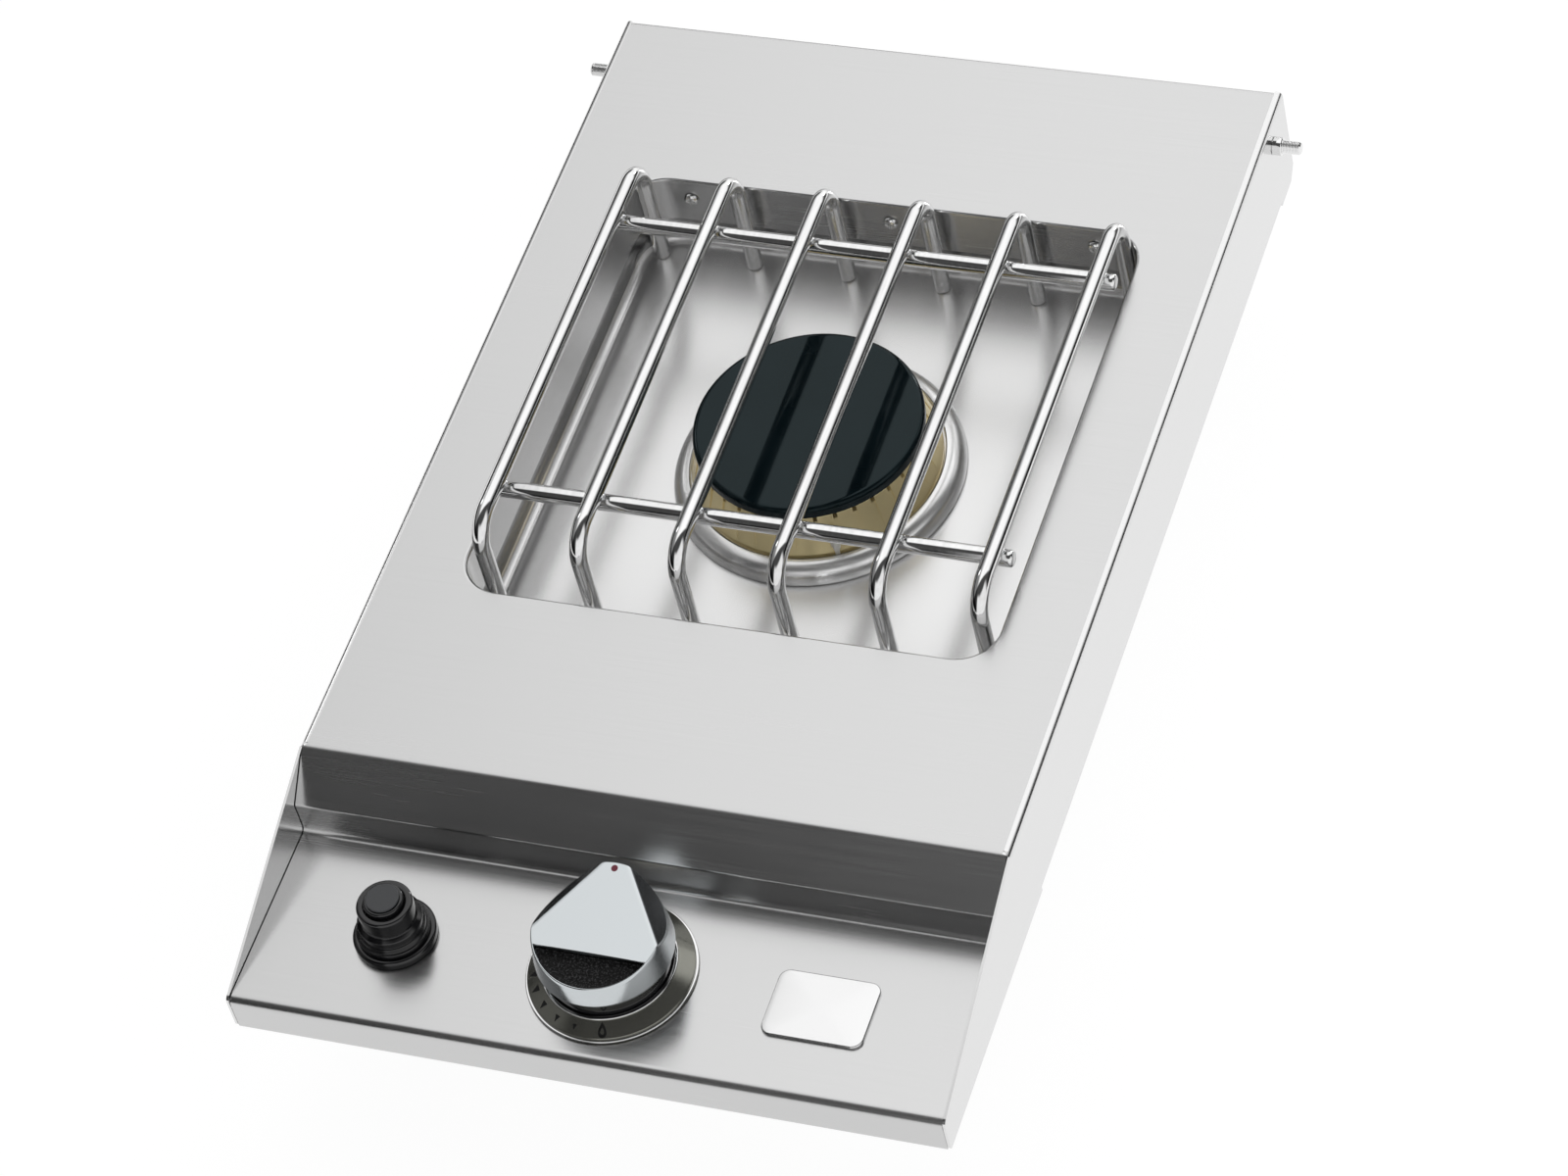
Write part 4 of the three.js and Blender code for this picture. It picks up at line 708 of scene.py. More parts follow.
def seam_islands():
    """Flanges turned down at both ends of the front, beside the cheeks: the seam looks black."""
    half, foot = half_deck - SHEET - CHEEK_SEAM, -LEDGE_DROP - SEAM_DEPTH
    front, riser = ledge_front + 2, SHEET / 2 - BROW_RUN
    outline = np.array([(front, -LEDGE_DROP - SHEET / 2), (riser, -LEDGE_DROP - SHEET / 2),
                        (riser, -BROW_DROP - SHEET / 2), (-1, -SHEET), (SEAM_DEPTH, -SHEET),
                        (SEAM_DEPTH, foot), (front, foot)])
    ends = ((half - SHEET, half), (-half, SHEET - half))
    return [extruded(outline, *pair, "x") for pair in ends]


def rear_island():
    """The deck's rear fold and the skirt below it."""
    half, start = half_deck - REAR_INSET, DECK_DEPTH - REAR_BEND - EASE + JOIN
    profile = folded([(start, 0), (DECK_DEPTH, 0), (DECK_DEPTH, -SKIRT_DROP)], [REAR_BEND], SHEET)
    return extruded(profile, -half, half, "x")


shell = make_piece("folded_deck", [deck_island(), front_island(), rear_island(), *seam_islands()],
                   deck_origin, steel_deck, ["top_shell"])
skirts = make_piece("folded_skirts", side_islands(1) + side_islands(-1), deck_origin,
                    steel_side, ["top_shell"])
print("top:", len(shell.data.polygons), "faces, skirts:", len(skirts.data.polygons))

# %% [markdown]
# ## Drip pan
#
# The pan is drawn from a blank: straight walls, a rolled foot and a flat floor with a round
# hole for the mixing bowl. Its rings start as the well's outline and end as the hole's circle,
# and the floor's points slide straight from one to the other. The walls have a finish of their
# own, brushed upright and far darker than the floor: the darker tone is painted shade.

# %% Drip pan
PAN_GAP, PAN_WALL, PAN_FLOOR, PAN_FOOT, PAN_TOP, PAN_HOLE = 1.3, 1.0, 44.0, 6.0, 1.5, 46.0
FLOOR_SHARES = np.array([0.004, 0.3, 0.6, 0.85, 1.0])
WALL_LEAN = 0.6


def pan_ring(inset, z):
    """The pan's outline, narrower all round by inset, about the middle of the well."""
    return at_height(well_ring(SHEET + PAN_GAP - inset)[0], z)


def pan_floor_rows(inset, z, shares):
    """Rings that turn from the foot's outline into the hole's circle."""
    ring = pan_ring(inset, z)
    circle = at_height(unit(ring[:, :2]) * PAN_HOLE, z)
    return [ring + (circle - ring) * share for share in shares]


def foot_rows(radius, wall):
    """The rolled foot: a quarter turn from a wall to the floor."""
    return [pan_ring(radius * (1 - math.cos(a)) - wall,
                     PAN_FOOT - PAN_FLOOR - radius * math.sin(a))
            for a in np.linspace(0, math.pi / 2, 9)]


def drip_pan_island():
    """Down the inside, over the foot, across the floor to the hole, and back underneath."""
    wall_foot = PAN_FOOT - PAN_FLOOR + SHOULDER
    return surface([
        pan_ring(0, -PAN_TOP), pan_ring(0, wall_foot), *foot_rows(PAN_FOOT, 0.0),
        *pan_floor_rows(PAN_FOOT, -PAN_FLOOR, FLOOR_SHARES),
        *pan_floor_rows(PAN_FOOT, -PAN_FLOOR - PAN_WALL, FLOOR_SHARES[::-1]),
        *foot_rows(PAN_FOOT + PAN_WALL, PAN_WALL)[::-1],
        pan_ring(-PAN_WALL, wall_foot), pan_ring(-PAN_WALL, -PAN_TOP),
    ], wrap=True)


pan = make_piece("drawn_drip_pan", [drip_pan_island()], well_origin, steel_pan, ["drip_pan"])
# Steep faces take the wall material, whose dark tone is painted shade.
pan.data.materials.append(shaded_wall_steel)
normals = np.empty(len(pan.data.polygons) * 3)
pan.data.polygons.foreach_get("normal", normals)
shaded_walls = np.abs(normals.reshape(-1, 3)[:, 2]) < WALL_LEAN
pan.data.polygons.foreach_set("material_index", shaded_walls.astype(np.int32))
print("pan:", len(pan.data.polygons), "faces")

# %% [markdown]
# ## Grate
#
# Each bar is a polished rod bent down at both ends, with its cut ends dressed round. A circle,
# square to the path, is carried along the bent line. The bars are flat in one plane, so one side
# direction serves all along. Two straight rods are welded under them, with a bead on both sides
# of every crossing.

# %% Swept rods
def swept(path, radius, side, sides=28, end_round=1.2):
    """A circle carried along a path. At each end the circle shrinks over a quarter arc.

    side is a direction that never runs along the path. Point = path + r (cos a u + sin a v),
    where u is side made square to the path and v is square to both."""
    way = unit(np.gradient(path, axis=0))
    turn = np.linspace(0, math.pi / 2, 6)
    shrunk = np.concatenate([[0.0], radius - end_round * (1 - np.sin(turn))])
    back = np.concatenate([[0.0], end_round * (1 - np.cos(turn))])[:, None]
    stations = np.concatenate([path[0] + way[0] * back, path[1:-1],
                               (path[-1] - way[-1] * back)[::-1]])
    ways = np.concatenate([np.repeat(way[:1], len(back), 0), way[1:-1],
                           np.repeat(way[-1:], len(back), 0)])
    radii = np.concatenate([shrunk, np.full(len(path) - 2, radius), shrunk[::-1]])
    u = unit(side - ways * (ways @ np.asarray(side, float))[:, None])
    v = np.cross(ways, u)
    angles = round_angles(sides)
    ring = np.cos(angles)[None, :, None] * u[:, None] + np.sin(angles)[None, :, None] * v[:, None]
    return surface(stations[:, None] + radii[:, None, None] * ring)


# %% Bars, cross rods and welds
BAR_RADIUS, BAR_SPAN, BAR_TOP, BAR_BEND, BAR_FOOT = 3.97, 226.1, 24.1, 14.0, 43.7
CROSS_LENGTH, CROSS_INSET, CROSS_SINK = 250.0, 31.0, 0.3
BEAD_LENGTH, BEAD_HEIGHT, BEAD_SHIFT, QUARTER_TURN = 1.9, 0.9, 1.6, 1.5708
BARS = [f"grate_bar_{i}" for i in range(1, 7)]
CROSS_RODS = ["grate_cross_rod_front", "grate_cross_rod_rear"]
grate_y = (middle_of("grate_bar_1")[1] - well_origin[1]) / MM
front_end, back_end = grate_y - BAR_SPAN / 2, grate_y + BAR_SPAN / 2
bar_xs = [(middle_of(name)[0] - well_origin[0]) / MM for name in BARS]
bar_centre = BAR_TOP - BAR_RADIUS
cross_z = bar_centre - 2 * BAR_RADIUS - CROSS_SINK
cross_ys = [front_end + CROSS_INSET, back_end - CROSS_INSET]


def bar_island(x):
    """A rod from the pan's floor up, over the well and down again."""
    corners = [(x, front_end, -BAR_FOOT), (x, front_end, bar_centre), (x, back_end, bar_centre),
               (x, back_end, -BAR_FOOT)]
    return swept(bent(corners, BAR_BEND, 14), BAR_RADIUS, (1, 0, 0))


def cross_island(y):
    """A straight rod under the bars."""
    ends = [(end * CROSS_LENGTH / 2, y, cross_z) for end in (-1, 1)]
    return swept(np.linspace(*ends, 8), BAR_RADIUS, (0, 1, 0), end_round=1.6)


def weld_bead(x, y):
    """A low bead where two rods touch: an ellipse, [a cos t, b sin t], turned."""
    t = np.linspace(-QUARTER_TURN, QUARTER_TURN, 12)
    ellipse = np.column_stack([BEAD_LENGTH * np.cos(t), BEAD_HEIGHT * np.sin(t)])
    return moved(turned(ellipse, sides=20), (x, y, bar_centre - BAR_RADIUS - CROSS_SINK / 2))


rods = [bar_island(x) for x in bar_xs] + [cross_island(y) for y in cross_ys]
for name, rod in zip(BARS + CROSS_RODS, rods):
    make_piece(f"rod_{name}", [rod], well_origin, rod_steel, [name])
beads = [weld_bead(x + shift, y) for x in bar_xs for y in cross_ys
         for shift in (-BEAD_SHIFT, BEAD_SHIFT)]
make_piece("grate_weld_beads", beads, well_origin, zinc_metal, [], body="grate")
print("grate rods:", len(rods), "beads:", len(beads))

# %% [markdown]
# ## Burner
#
# Cap, head and collar are turned parts, so each is a profile carried round the axis. The head
# also has ports, narrow slots sawn across its top edge. The same grid makes them: its columns
# stand close together at each slot's sides, and its heights end there at the slot's floor.

# %% Burner sizes
HEAD_BORE, HEAD_TOP, HEAD_FOOT, HEAD_FOOT_Z = 46.6, 53.0, 58.5, -36.6
PORTS, PORT_WIDTH, PORT_DEPTH, PORT_STEP = 36, 1.9, 2.8, 0.02
CAP_RADIUS, CAP_TOP, CAP_FOOT, CAP_BEVEL, CAP_WEB, CAP_LIP = 53.7, -8.0, -14.2, 2.4, 3.4, 5.4
RING_RADIUS, RING_WALL, RING_FOOT = 44.2, 2.4, -19.7
COLLAR_FOOT, COLLAR_RIM, COLLAR_SHELF = -43.7, -34.7, -36.9
COLLAR_RIM_RADIUS, COLLAR_RADIUS, COLLAR_BORE = 59.4, 68.4, 44.0


# %% Cap, head with ports, and collar
def cap_island():
    """Top face, soft edge, underside with its ring, and back to the axis."""
    web, lip, bore = CAP_TOP - CAP_WEB, CAP_RADIUS - CAP_LIP, RING_RADIUS - RING_WALL
    return turned([
        (0, CAP_TOP), (CAP_RADIUS, CAP_TOP), (CAP_RADIUS, CAP_FOOT), (lip, CAP_FOOT), (lip, web),
        (RING_RADIUS, web), (RING_RADIUS, RING_FOOT), (bore, RING_FOOT), (bore, web), (0, web),
    ], [CAP_BEVEL, 0.7, 0.5, 0.5, 0.5, 0.4, 0.4, 0.5], sides=160)


def port_columns():
    """Angles of the columns: three in every slot, and some between it and the next slot."""
    pitch, half = 2 * math.pi / PORTS, PORT_WIDTH / 2 / HEAD_TOP
    step = PORT_STEP / HEAD_TOP
    one = np.concatenate([[-half, 0.0, half], np.linspace(half + step, pitch - half - step, 6)])
    angles = (np.arange(PORTS)[:, None] * pitch + one[None, :]).ravel()
    return angles, np.tile(np.arange(len(one)) < 3, PORTS)


def head_island():
    """The head's closed profile, carried round; in a port no point is above the slot's floor."""
    top = CAP_FOOT - 0.3
    profile = bent([
        (HEAD_TOP, top), (HEAD_FOOT, HEAD_FOOT_Z + 3.0), (HEAD_FOOT, HEAD_FOOT_Z),
        (HEAD_FOOT - 6.0, HEAD_FOOT_Z), (HEAD_TOP - 3.0, top - 2 * PORT_DEPTH),
        (HEAD_BORE + 3.0, HEAD_FOOT_Z + 3.0), (HEAD_BORE, HEAD_FOOT_Z + 3.0), (HEAD_BORE, top),
    ], [0.5, 2.0, 0.4, 0.4, 0.4, 0.4, 0.4, 0.4], 5, closed=True)
    angles, in_port = port_columns()
    radius, height = profile[:, :1], profile[:, 1:]
    height = np.where(in_port, np.minimum(height, top - PORT_DEPTH), height)
    return surface(spun(radius, height, angles), wrap=True)


def collar_island():
    """A ring pressed from sheet, with a round brim and a shelf for the head."""
    radii = (COLLAR_BORE, COLLAR_RADIUS, COLLAR_RADIUS, COLLAR_RIM_RADIUS, COLLAR_RIM_RADIUS,
             COLLAR_BORE)
    heights = np.repeat([COLLAR_FOOT, COLLAR_RIM, COLLAR_SHELF], 2)
    return turned(np.column_stack([radii, heights]), [0.3, 0.2, 8.4, 0.3, 0.2, 0.3], sides=160,
                  closed=True)


make_piece("enamel_cap", [cap_island()], well_origin, enamel, ["burner_cap"])
make_piece("brass_head", [head_island()], well_origin, brass_metal, ["burner_head"], 30.0)
make_piece("steel_collar", [collar_island()], well_origin, pressed_steel, ["burner_collar"])
print("ports:", PORTS)

# %% [markdown]
# ## Knob
#
# The knob starts as a turned blank. A sloping face, two side facets and a D-shaped pocket are cut
# into it. Over any point the metal ends at the lowest of three planes, and rounding that minimum
# gives the soft creases of a polished casting. One row of the polar grid follows the pocket's
# edge exactly, so its wall is clean. Wherever a face points the facets' way, the casting gets a
# darker tone: a painted dark reflection. The neck that fills the gap between skirt and bezel is
# black: painted shade under the skirt.

# %% Knob sizes and the height of its top
KNOB_RADIUS, NECK_RADIUS, NECK_FOOT, SKIRT_FOOT = 31.0, 27.9, 6.0, 17.2
FACE_HEIGHT, FACE_SLOPE = 34.1, math.tan(math.radians(11.6))
NOSE, KNOB_SHOULDER = np.array([5.0, 30.2]), np.array([29.3, -5.5])
# The side facets' tone is a painted dark reflection.
FACET_FALL, FACET_RISE, FACET_REFLECTION_TONE = 0.9133, 0.1697, (0.24, 0.25, 0.26)
CREASE, RIM_REACH, RIM_FALL, DRAFT = 0.8, 0.75, 2.6, 1.3
POCKET_RADIUS, POCKET_EDGE, POCKET_DEPTH, POCKET_LIP = 28.6, -12.9, 5.5, 0.35
HOLLOW_RADIUS, HOLLOW_TOP, HUB_RADIUS, SKIRT_LAND = 24.4, 19.0, 8.5, 1.4
SEAT, STEM_PLAY = 0.3, 0.35
facet_edge = unit(NOSE - KNOB_SHOULDER)


def knob_face(y):
    """The sloping face: it rises towards the pointer's nose."""
    return FACE_HEIGHT + FACE_SLOPE * y


def lower_of(first, second, reach):
    """The lower of two heights, with the crease between them rounded over reach."""
    share = np.clip(0.5 + 0.5 * (second - first) / reach, 0, 1)
    return second + (first - second) * share - reach * share * (1 - share)


def knob_top(x, y):
    """The lowest of the face and both facets. A facet falls away from its edge line."""
    height = knob_face(y)
    for side in (1, -1):
        from_x, from_y = side * x - KNOB_SHOULDER[0], y - KNOB_SHOULDER[1]
        along = from_x * facet_edge[0] + from_y * facet_edge[1]
        away = from_x * facet_edge[1] - from_y * facet_edge[0]
        facet = knob_face(KNOB_SHOULDER[1]) - FACET_FALL * away + FACET_RISE * along
        height = lower_of(height, facet, CREASE)
    return height


# %% Knob body
def knob_island(columns=360):
    """Rows of (radius, height): face, pocket, rim, wall, and the hollow with its hub."""
    angle = round_angles(columns)
    cosine, sine = np.cos(angle), np.sin(angle)
    entry = np.where(sine < -1e-6, POCKET_EDGE / np.minimum(sine, -1e-6), np.inf)
    entry = np.minimum(entry, POCKET_RADIUS)
    opened = (entry < POCKET_RADIUS - 0.05).astype(float)
    lip = POCKET_LIP * opened
    inner, flat_end = POCKET_RADIUS + lip, KNOB_RADIUS - DRAFT - RIM_REACH
    stem_low, stem_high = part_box("valve_stem")
    stem_radius = (stem_high.x - stem_low.x) / 2 / MM + STEM_PLAY
    stem_top = (stem_high.z - knob_origin[2]) / MM + STEM_PLAY
    rows = []

    def add_row(radius, drop=0.0, height=None):
        x, y = radius * cosine, radius * sine
        z = knob_top(x, y) - drop if height is None else np.full(columns, height)
        rows.append(np.stack([x, y, z], axis=-1))

    for share in np.linspace(0, 1, 100):
        add_row(share * (entry - lip))
    add_row(entry - 0.3 * lip, 0.3 * lip)
    add_row(entry, lip)
    for share in np.linspace(0, 1, 8):
        add_row(entry + share * (POCKET_RADIUS - entry), POCKET_DEPTH * opened)
    add_row(POCKET_RADIUS, lip)
    add_row(POCKET_RADIUS + 0.3 * lip, 0.3 * lip)
    for share in np.linspace(0, 1, 5)[:-1]:
        add_row(inner + share * (flat_end - inner))
    for turn in np.linspace(0, 1.35, 14):
        add_row(flat_end + RIM_REACH * math.sin(turn), RIM_FALL * (1 - math.cos(turn)))
    under = bent([
        (KNOB_RADIUS, SKIRT_FOOT + SKIRT_LAND), (KNOB_RADIUS, SKIRT_FOOT),
        (HOLLOW_RADIUS, SKIRT_FOOT), (HOLLOW_RADIUS, HOLLOW_TOP), (HUB_RADIUS, HOLLOW_TOP),
        (HUB_RADIUS, NECK_FOOT), (stem_radius, NECK_FOOT), (stem_radius, stem_top), (0, stem_top),
    ], [0.8, 0, 0.5, 0.5, 0.4, 0, 0], 5)
    for radius, height in under:
        add_row(radius, height=height)
    return surface(rows)


def facet_normal(side):
    """Which way a side facet of the knob faces."""
    slope_x = side * (FACET_RISE * facet_edge[0] - FACET_FALL * facet_edge[1])
    slope_y = FACET_RISE * facet_edge[1] + FACET_FALL * facet_edge[0]
    return unit(np.array([-slope_x, -slope_y, 1.0]))


def paint_facet_reflection(material, tone):
    """Paint a darker tone on the faces that point the facets' way: a painted dark reflection."""
    graph = Graph(material, keep=True)
    base = graph.tree.nodes["Principled BSDF"].inputs["Base Color"]
    facing = graph.node("ShaderNodeTexCoord").outputs["Normal"]
    dots = [graph.node("ShaderNodeVectorMath", {0: facing, 1: facet_normal(side)},
                       operation="DOT_PRODUCT") for side in (1, -1)]
    reflection_mask = graph.math("MAXIMUM", *[graph.fade(dot.outputs["Value"], 0.95, 0.985) for dot in dots])
    mix = graph.node("ShaderNodeMix", {0: reflection_mask, 6: base.links[0].from_socket, 7: (*tone, 1.0)},
                     data_type="RGBA")
    graph.feed(base, mix.outputs[2])


# The knob's casting gets a painted dark reflection on its side facets.
paint_facet_reflection(satin_metal, FACET_REFLECTION_TONE)
cast_knob = make_piece("cast_knob", [knob_island()], knob_origin, satin_metal, ["knob"], 32.0)
# The neck is black: painted shade under the knob's skirt.
neck = hoop(HOLLOW_RADIUS, NECK_RADIUS, NECK_FOOT, SKIRT_FOOT, [0, 0.5, 0, 0], 140)
make_piece("knob_neck", [neck], knob_origin, gloss_black, ["knob"])
print("knob triangles:", 2 * len(cast_knob.data.polygons))

# %% [markdown]
# ## Grip and pointer mark
#
# The insert in the pocket is moulded rubber: a smooth border rises at its straight side, and the
# rest is a shallow grained dish. The grid spreads from a point inside the D out to its outline.
# The pointer's mark is a dot of paint on the face.

# %% Grip insert and mark
GRIP_LIFT, GRIP_BORDER, GRIP_CORNER, GRIP_MIDDLE_Y, GRIP_EDGE = 1.6, 1.6, 1.3, -20.0, 0.3
BORDER_RISE, DISH_RISE, DISH_REACH = 2.4, 0.8, 5.0
MARK_Y, MARK_RADIUS, PAINT = 26.55, 1.5, 0.06


def grip_outline(columns=240):
    """How far the D reaches from its middle, in every direction, with rounded corners."""
    angle = round_angles(columns)
    cosine, sine = np.cos(angle), np.sin(angle)
    inner = (POCKET_RADIUS - SEAT) ** 2 - GRIP_MIDDLE_Y**2
    to_arc = -GRIP_MIDDLE_Y * sine + np.sqrt((GRIP_MIDDLE_Y * sine) ** 2 + inner)
    to_edge = (POCKET_EDGE - SEAT - GRIP_MIDDLE_Y) / np.maximum(sine, 1e-3)
    return cosine, sine, lower_of(to_arc, np.where(sine > 0, to_edge, 1e3), GRIP_CORNER)


def grip_island():
    """Rings from the middle out over the top, down the side and back underneath."""
    cosine, sine, reach = grip_outline()
    floor_drop = POCKET_DEPTH - SEAT
    rows = []

    def add_row(distance, drop):
        x, y = distance * cosine, GRIP_MIDDLE_Y + distance * sine
        rows.append(np.stack([x, y, knob_face(y) - drop], axis=-1))

    def top_drop(distance):
        to_edge = POCKET_EDGE - SEAT - (GRIP_MIDDLE_Y + distance * sine)
        border = np.clip(1 - to_edge / GRIP_BORDER, 0, 1) ** 2
        dish = np.clip(1 - (reach - distance) / DISH_REACH, 0, 1) ** 2
        return floor_drop - GRIP_LIFT - BORDER_RISE * border - DISH_RISE * dish * (1 - border)

    for share in np.linspace(0, 1, 60):
        distance = share * (reach - GRIP_EDGE)
        add_row(distance, top_drop(distance))
    edge_drop = top_drop(reach - GRIP_EDGE)
    add_row(reach - 0.08, edge_drop + 0.09)
    add_row(reach, edge_drop + GRIP_EDGE)
    add_row(reach, floor_drop)
    for share in np.linspace(1, 0, 4):
        add_row(share * (reach - SHOULDER), floor_drop)
    return surface(rows)


def mark_island():
    """A flat disc of paint that follows the sloping face."""
    points, faces = turned([(0, PAINT), (MARK_RADIUS, PAINT), (MARK_RADIUS, -PAINT), (0, -PAINT)],
                           [0.04, 0], sides=48)
    points = points + [0, MARK_Y, 0]
    points[:, 2] += knob_face(points[:, 1])
    return points, faces


grip = make_piece("rubber_grip", [grip_island()], knob_origin, grip_black, ["knob_grip"], 50.0)
make_piece("pointer_mark", [mark_island()], knob_origin, print_red, [], body="knob")
print("grip:", len(grip.data.polygons), "faces")

# %% [markdown]
# ## Bezel and its dial
#
# The bezel is a cone with a rolled rim inside and a dark plated face. Its marks are printed: six
# wedges that grow towards the high setting, and two small flames. Each mark is an outline on the
# plane, and every point of it is lifted to the height of the cone below it.

# %% Bezel
BEZEL_RADIUS, BEZEL_BORE, BEZEL_FLOOR, STEM_HOLE, RIM_TOP = 38.0, 28.3, 1.5, 9.0, 7.6
CONE_OUTER, CONE_INNER = (37.0, 2.75), (29.9, 6.75)
BEZEL_STEP, BAND_ROUND, BAND_PROUD, BAND_FOOT = 1.5, 0.35, 0.15, 5.6
WEDGE_RING, FLAME_RING, FLAME_WIDTH, FLAME_HEART = 33.9, 33.6, 0.42, 0.45
WEDGES = {-98.7: 2.3, -115.0: 2.8, -131.5: 3.3, -147.0: 3.8, -161.0: 4.2, -175.0: 4.6}
FLAMES = {-77.0: 6.0, 168.0: 6.8}


def cone_height(flat):
    """Height of the bezel's face over flat points."""
    slope = (CONE_INNER[1] - CONE_OUTER[1]) / (CONE_INNER[0] - CONE_OUTER[0])
    return CONE_OUTER[1] + slope * (np.linalg.norm(flat, axis=1) - CONE_OUTER[0])


def bezel_island():
    """A closed profile: face, outer edge, seat, floor and the rolled rim."""
    return turned([
        (STEM_HOLE, SEAT), (BEZEL_RADIUS, SEAT), (BEZEL_RADIUS, BEZEL_STEP),
        (CONE_OUTER[0], BEZEL_STEP), CONE_OUTER, CONE_INNER,
        (BEZEL_BORE, CONE_INNER[1]), (BEZEL_BORE, BEZEL_FLOOR), (STEM_HOLE, BEZEL_FLOOR),
    ], [0.1, 0.2, 0.3, 0.15, 0.5, 0.2, 0.2, 0.6, 0.1], sides=180, closed=True)


def at_angle(outline, degrees):
    """An outline drawn as [across, radius], turned to an angle on the dial."""
    a = math.radians(degrees)
    across, radius = outline.T
    return np.column_stack([radius * math.cos(a) - across * math.sin(a),
                            radius * math.sin(a) + across * math.cos(a)])


def wedge_island(size, degrees):
    """A triangle that points outwards, as a thin film on the cone."""
    outline = np.array([(-0.44, -0.5), (0.44, -0.5), (0.0, 0.5)]) * size + [0, WEDGE_RING]
    outline = at_angle(outline, degrees)
    rows = [at_height(outline, cone_height(outline) + lift) for lift in (-PAINT, PAINT)]
    return surface(rows, cap=True)


def flame_line(size, share):
    """A drop with its tip inwards: a half-circle below, drawn up to a point."""
    t = round_angles(40)
    x = FLAME_WIDTH * np.sin(t) * np.sin(t / 2) ** 1.2 * share
    y = 0.5 * np.cos(t) * share
    return np.column_stack([x, -y]) * size + [0, FLAME_RING + 0.1 * size * (1 - share)]


def flame_island(size, degrees):
    """The flame's stroke, as quads between its outer and its inner line."""
    outer, inner = (at_angle(flame_line(size, share), degrees) for share in (1.0, FLAME_HEART))
    rows = [at_height(line, cone_height(line) + lift)
            for line, lift in ((outer, -PAINT), (outer, PAINT), (inner, PAINT), (inner, -PAINT))]
    return surface(rows, wrap=True)


dial = [wedge_island(size, angle) for angle, size in WEDGES.items()]
dial += [flame_island(size, angle) for angle, size in FLAMES.items()]
make_piece("bezel_ring", [bezel_island()], knob_origin, bezel_metal, ["knob_bezel"], 30.0)
bands = [hoop(*sizes, BAND_ROUND, 180) for sizes in (
    (BEZEL_BORE, CONE_INNER[0] + 0.2, BAND_FOOT, RIM_TOP),
    (CONE_OUTER[0] - 1.0, BEZEL_RADIUS, SEAT, BEZEL_STEP + BAND_PROUD))]
make_piece("bezel_bands", bands, knob_origin, bright_metal, [], body="chassis")
make_piece("dial_marks", dial, knob_origin, print_black, [], body="chassis")
print("dial marks:", len(dial))

# %% [markdown]
# ## Igniter
#
# Bezel, threaded cap, button and its satin face are all turned. The cap unscrews to change the
# cell, so its foot is wide and stepped for the fingers. One table holds the four profiles.

# %% Igniter
BORE, FOOT_RADIUS, CAP_SHOULDER, CAP_CROWN, PUSH_HOLE = 11.2 + SEAT, 16.4, 14.6, 12.6, 9.4
IGNITER_BEZEL, BEZEL_TOP, IGNITER_FOOT, CROWN_TOP, CROWN_UNDER = 18.7, 4.5, 4.8, 24.4, 22.0
BUTTON_FLANGE, BUTTON_RADIUS, FACE_RADIUS = 10.6, 9.0, 7.5
TURNED = {
    "igniter_bezel": (
        gloss_black, 120, True,
        [(BORE, SEAT), (IGNITER_BEZEL, SEAT), (IGNITER_BEZEL, BEZEL_TOP), (BORE, BEZEL_TOP)],
        [0.1, 0.3, 1.6, 0.3]),
    "igniter_cap": (
        gloss_black, 120, True,
        [(BORE, IGNITER_FOOT), (FOOT_RADIUS, IGNITER_FOOT), (FOOT_RADIUS, 7.2), (15.5, 7.5),
         (15.2, 9.9), (CAP_SHOULDER, 10.2), (CAP_SHOULDER, 13.4), (13.5, 14.3), (CAP_CROWN, 15.0),
         (CAP_CROWN, CROWN_TOP), (PUSH_HOLE, CROWN_TOP), (PUSH_HOLE, CROWN_UNDER),
         (BORE, CROWN_UNDER)],
        [0.2, 0.4, 0.5, 0.3, 0.3, 0.3, 0.6, 0.3, 0.4, 1.2, 0.5, 0.2, 0.2]),
    "igniter_button": (
        gloss_black, 96, False,
        [(0, 19.7), (BUTTON_FLANGE, 19.7), (BUTTON_FLANGE, 21.7), (BUTTON_RADIUS, 21.7),
         (BUTTON_RADIUS, 27.0), (0, 27.0)],
        [0.2, 0.2, 0.2, 0.9]),
    "igniter_button_face": (
        button_grey, 96, False,
        [(0, 27.3), (FACE_RADIUS, 27.3), (FACE_RADIUS, 28.1), (0, 28.1)], [0.1, 0.35]),
}
for name, (material, sides, closed, outline, bends) in TURNED.items():
    island = turned(outline, bends, sides, closed=closed)
    make_piece(f"turned_{name}", [island], igniter_origin, material, [name], 32.0)
print("igniter pieces:", len(TURNED))

# %% [markdown]
# ## Fasteners, studs and the blank plate
#
# The screws that hold the pan have pan heads with a cross recess: a dip that is deep near two
# crossing lines close to the axis and eases out to nothing. The plate on the ledge is blank.

# %% Screws, studs and plate
SCREW_HEAD, SCREW_HEIGHT, SCREW_SHANK, SCREW_END = 3.6, 2.1, 2.0, 2.1
DOME_FALL, RECESS_HALF, RECESS_REACH, RECESS_DEPTH = 0.62, 0.62, 2.2, 1.1
STUD_CREST, STUD_ROOT, STUD_PITCH = 3.2, 2.9, 0.7
PLATE_SIZE, PLATE_PLACE = (46.0, 34.0, 5.0), (96.0, -69.0, -LEDGE_DROP + 0.02)
PLATE_HEIGHT, PLATE_ROUND, PLATE_CROWN = 1.6, 0.7, 0.5


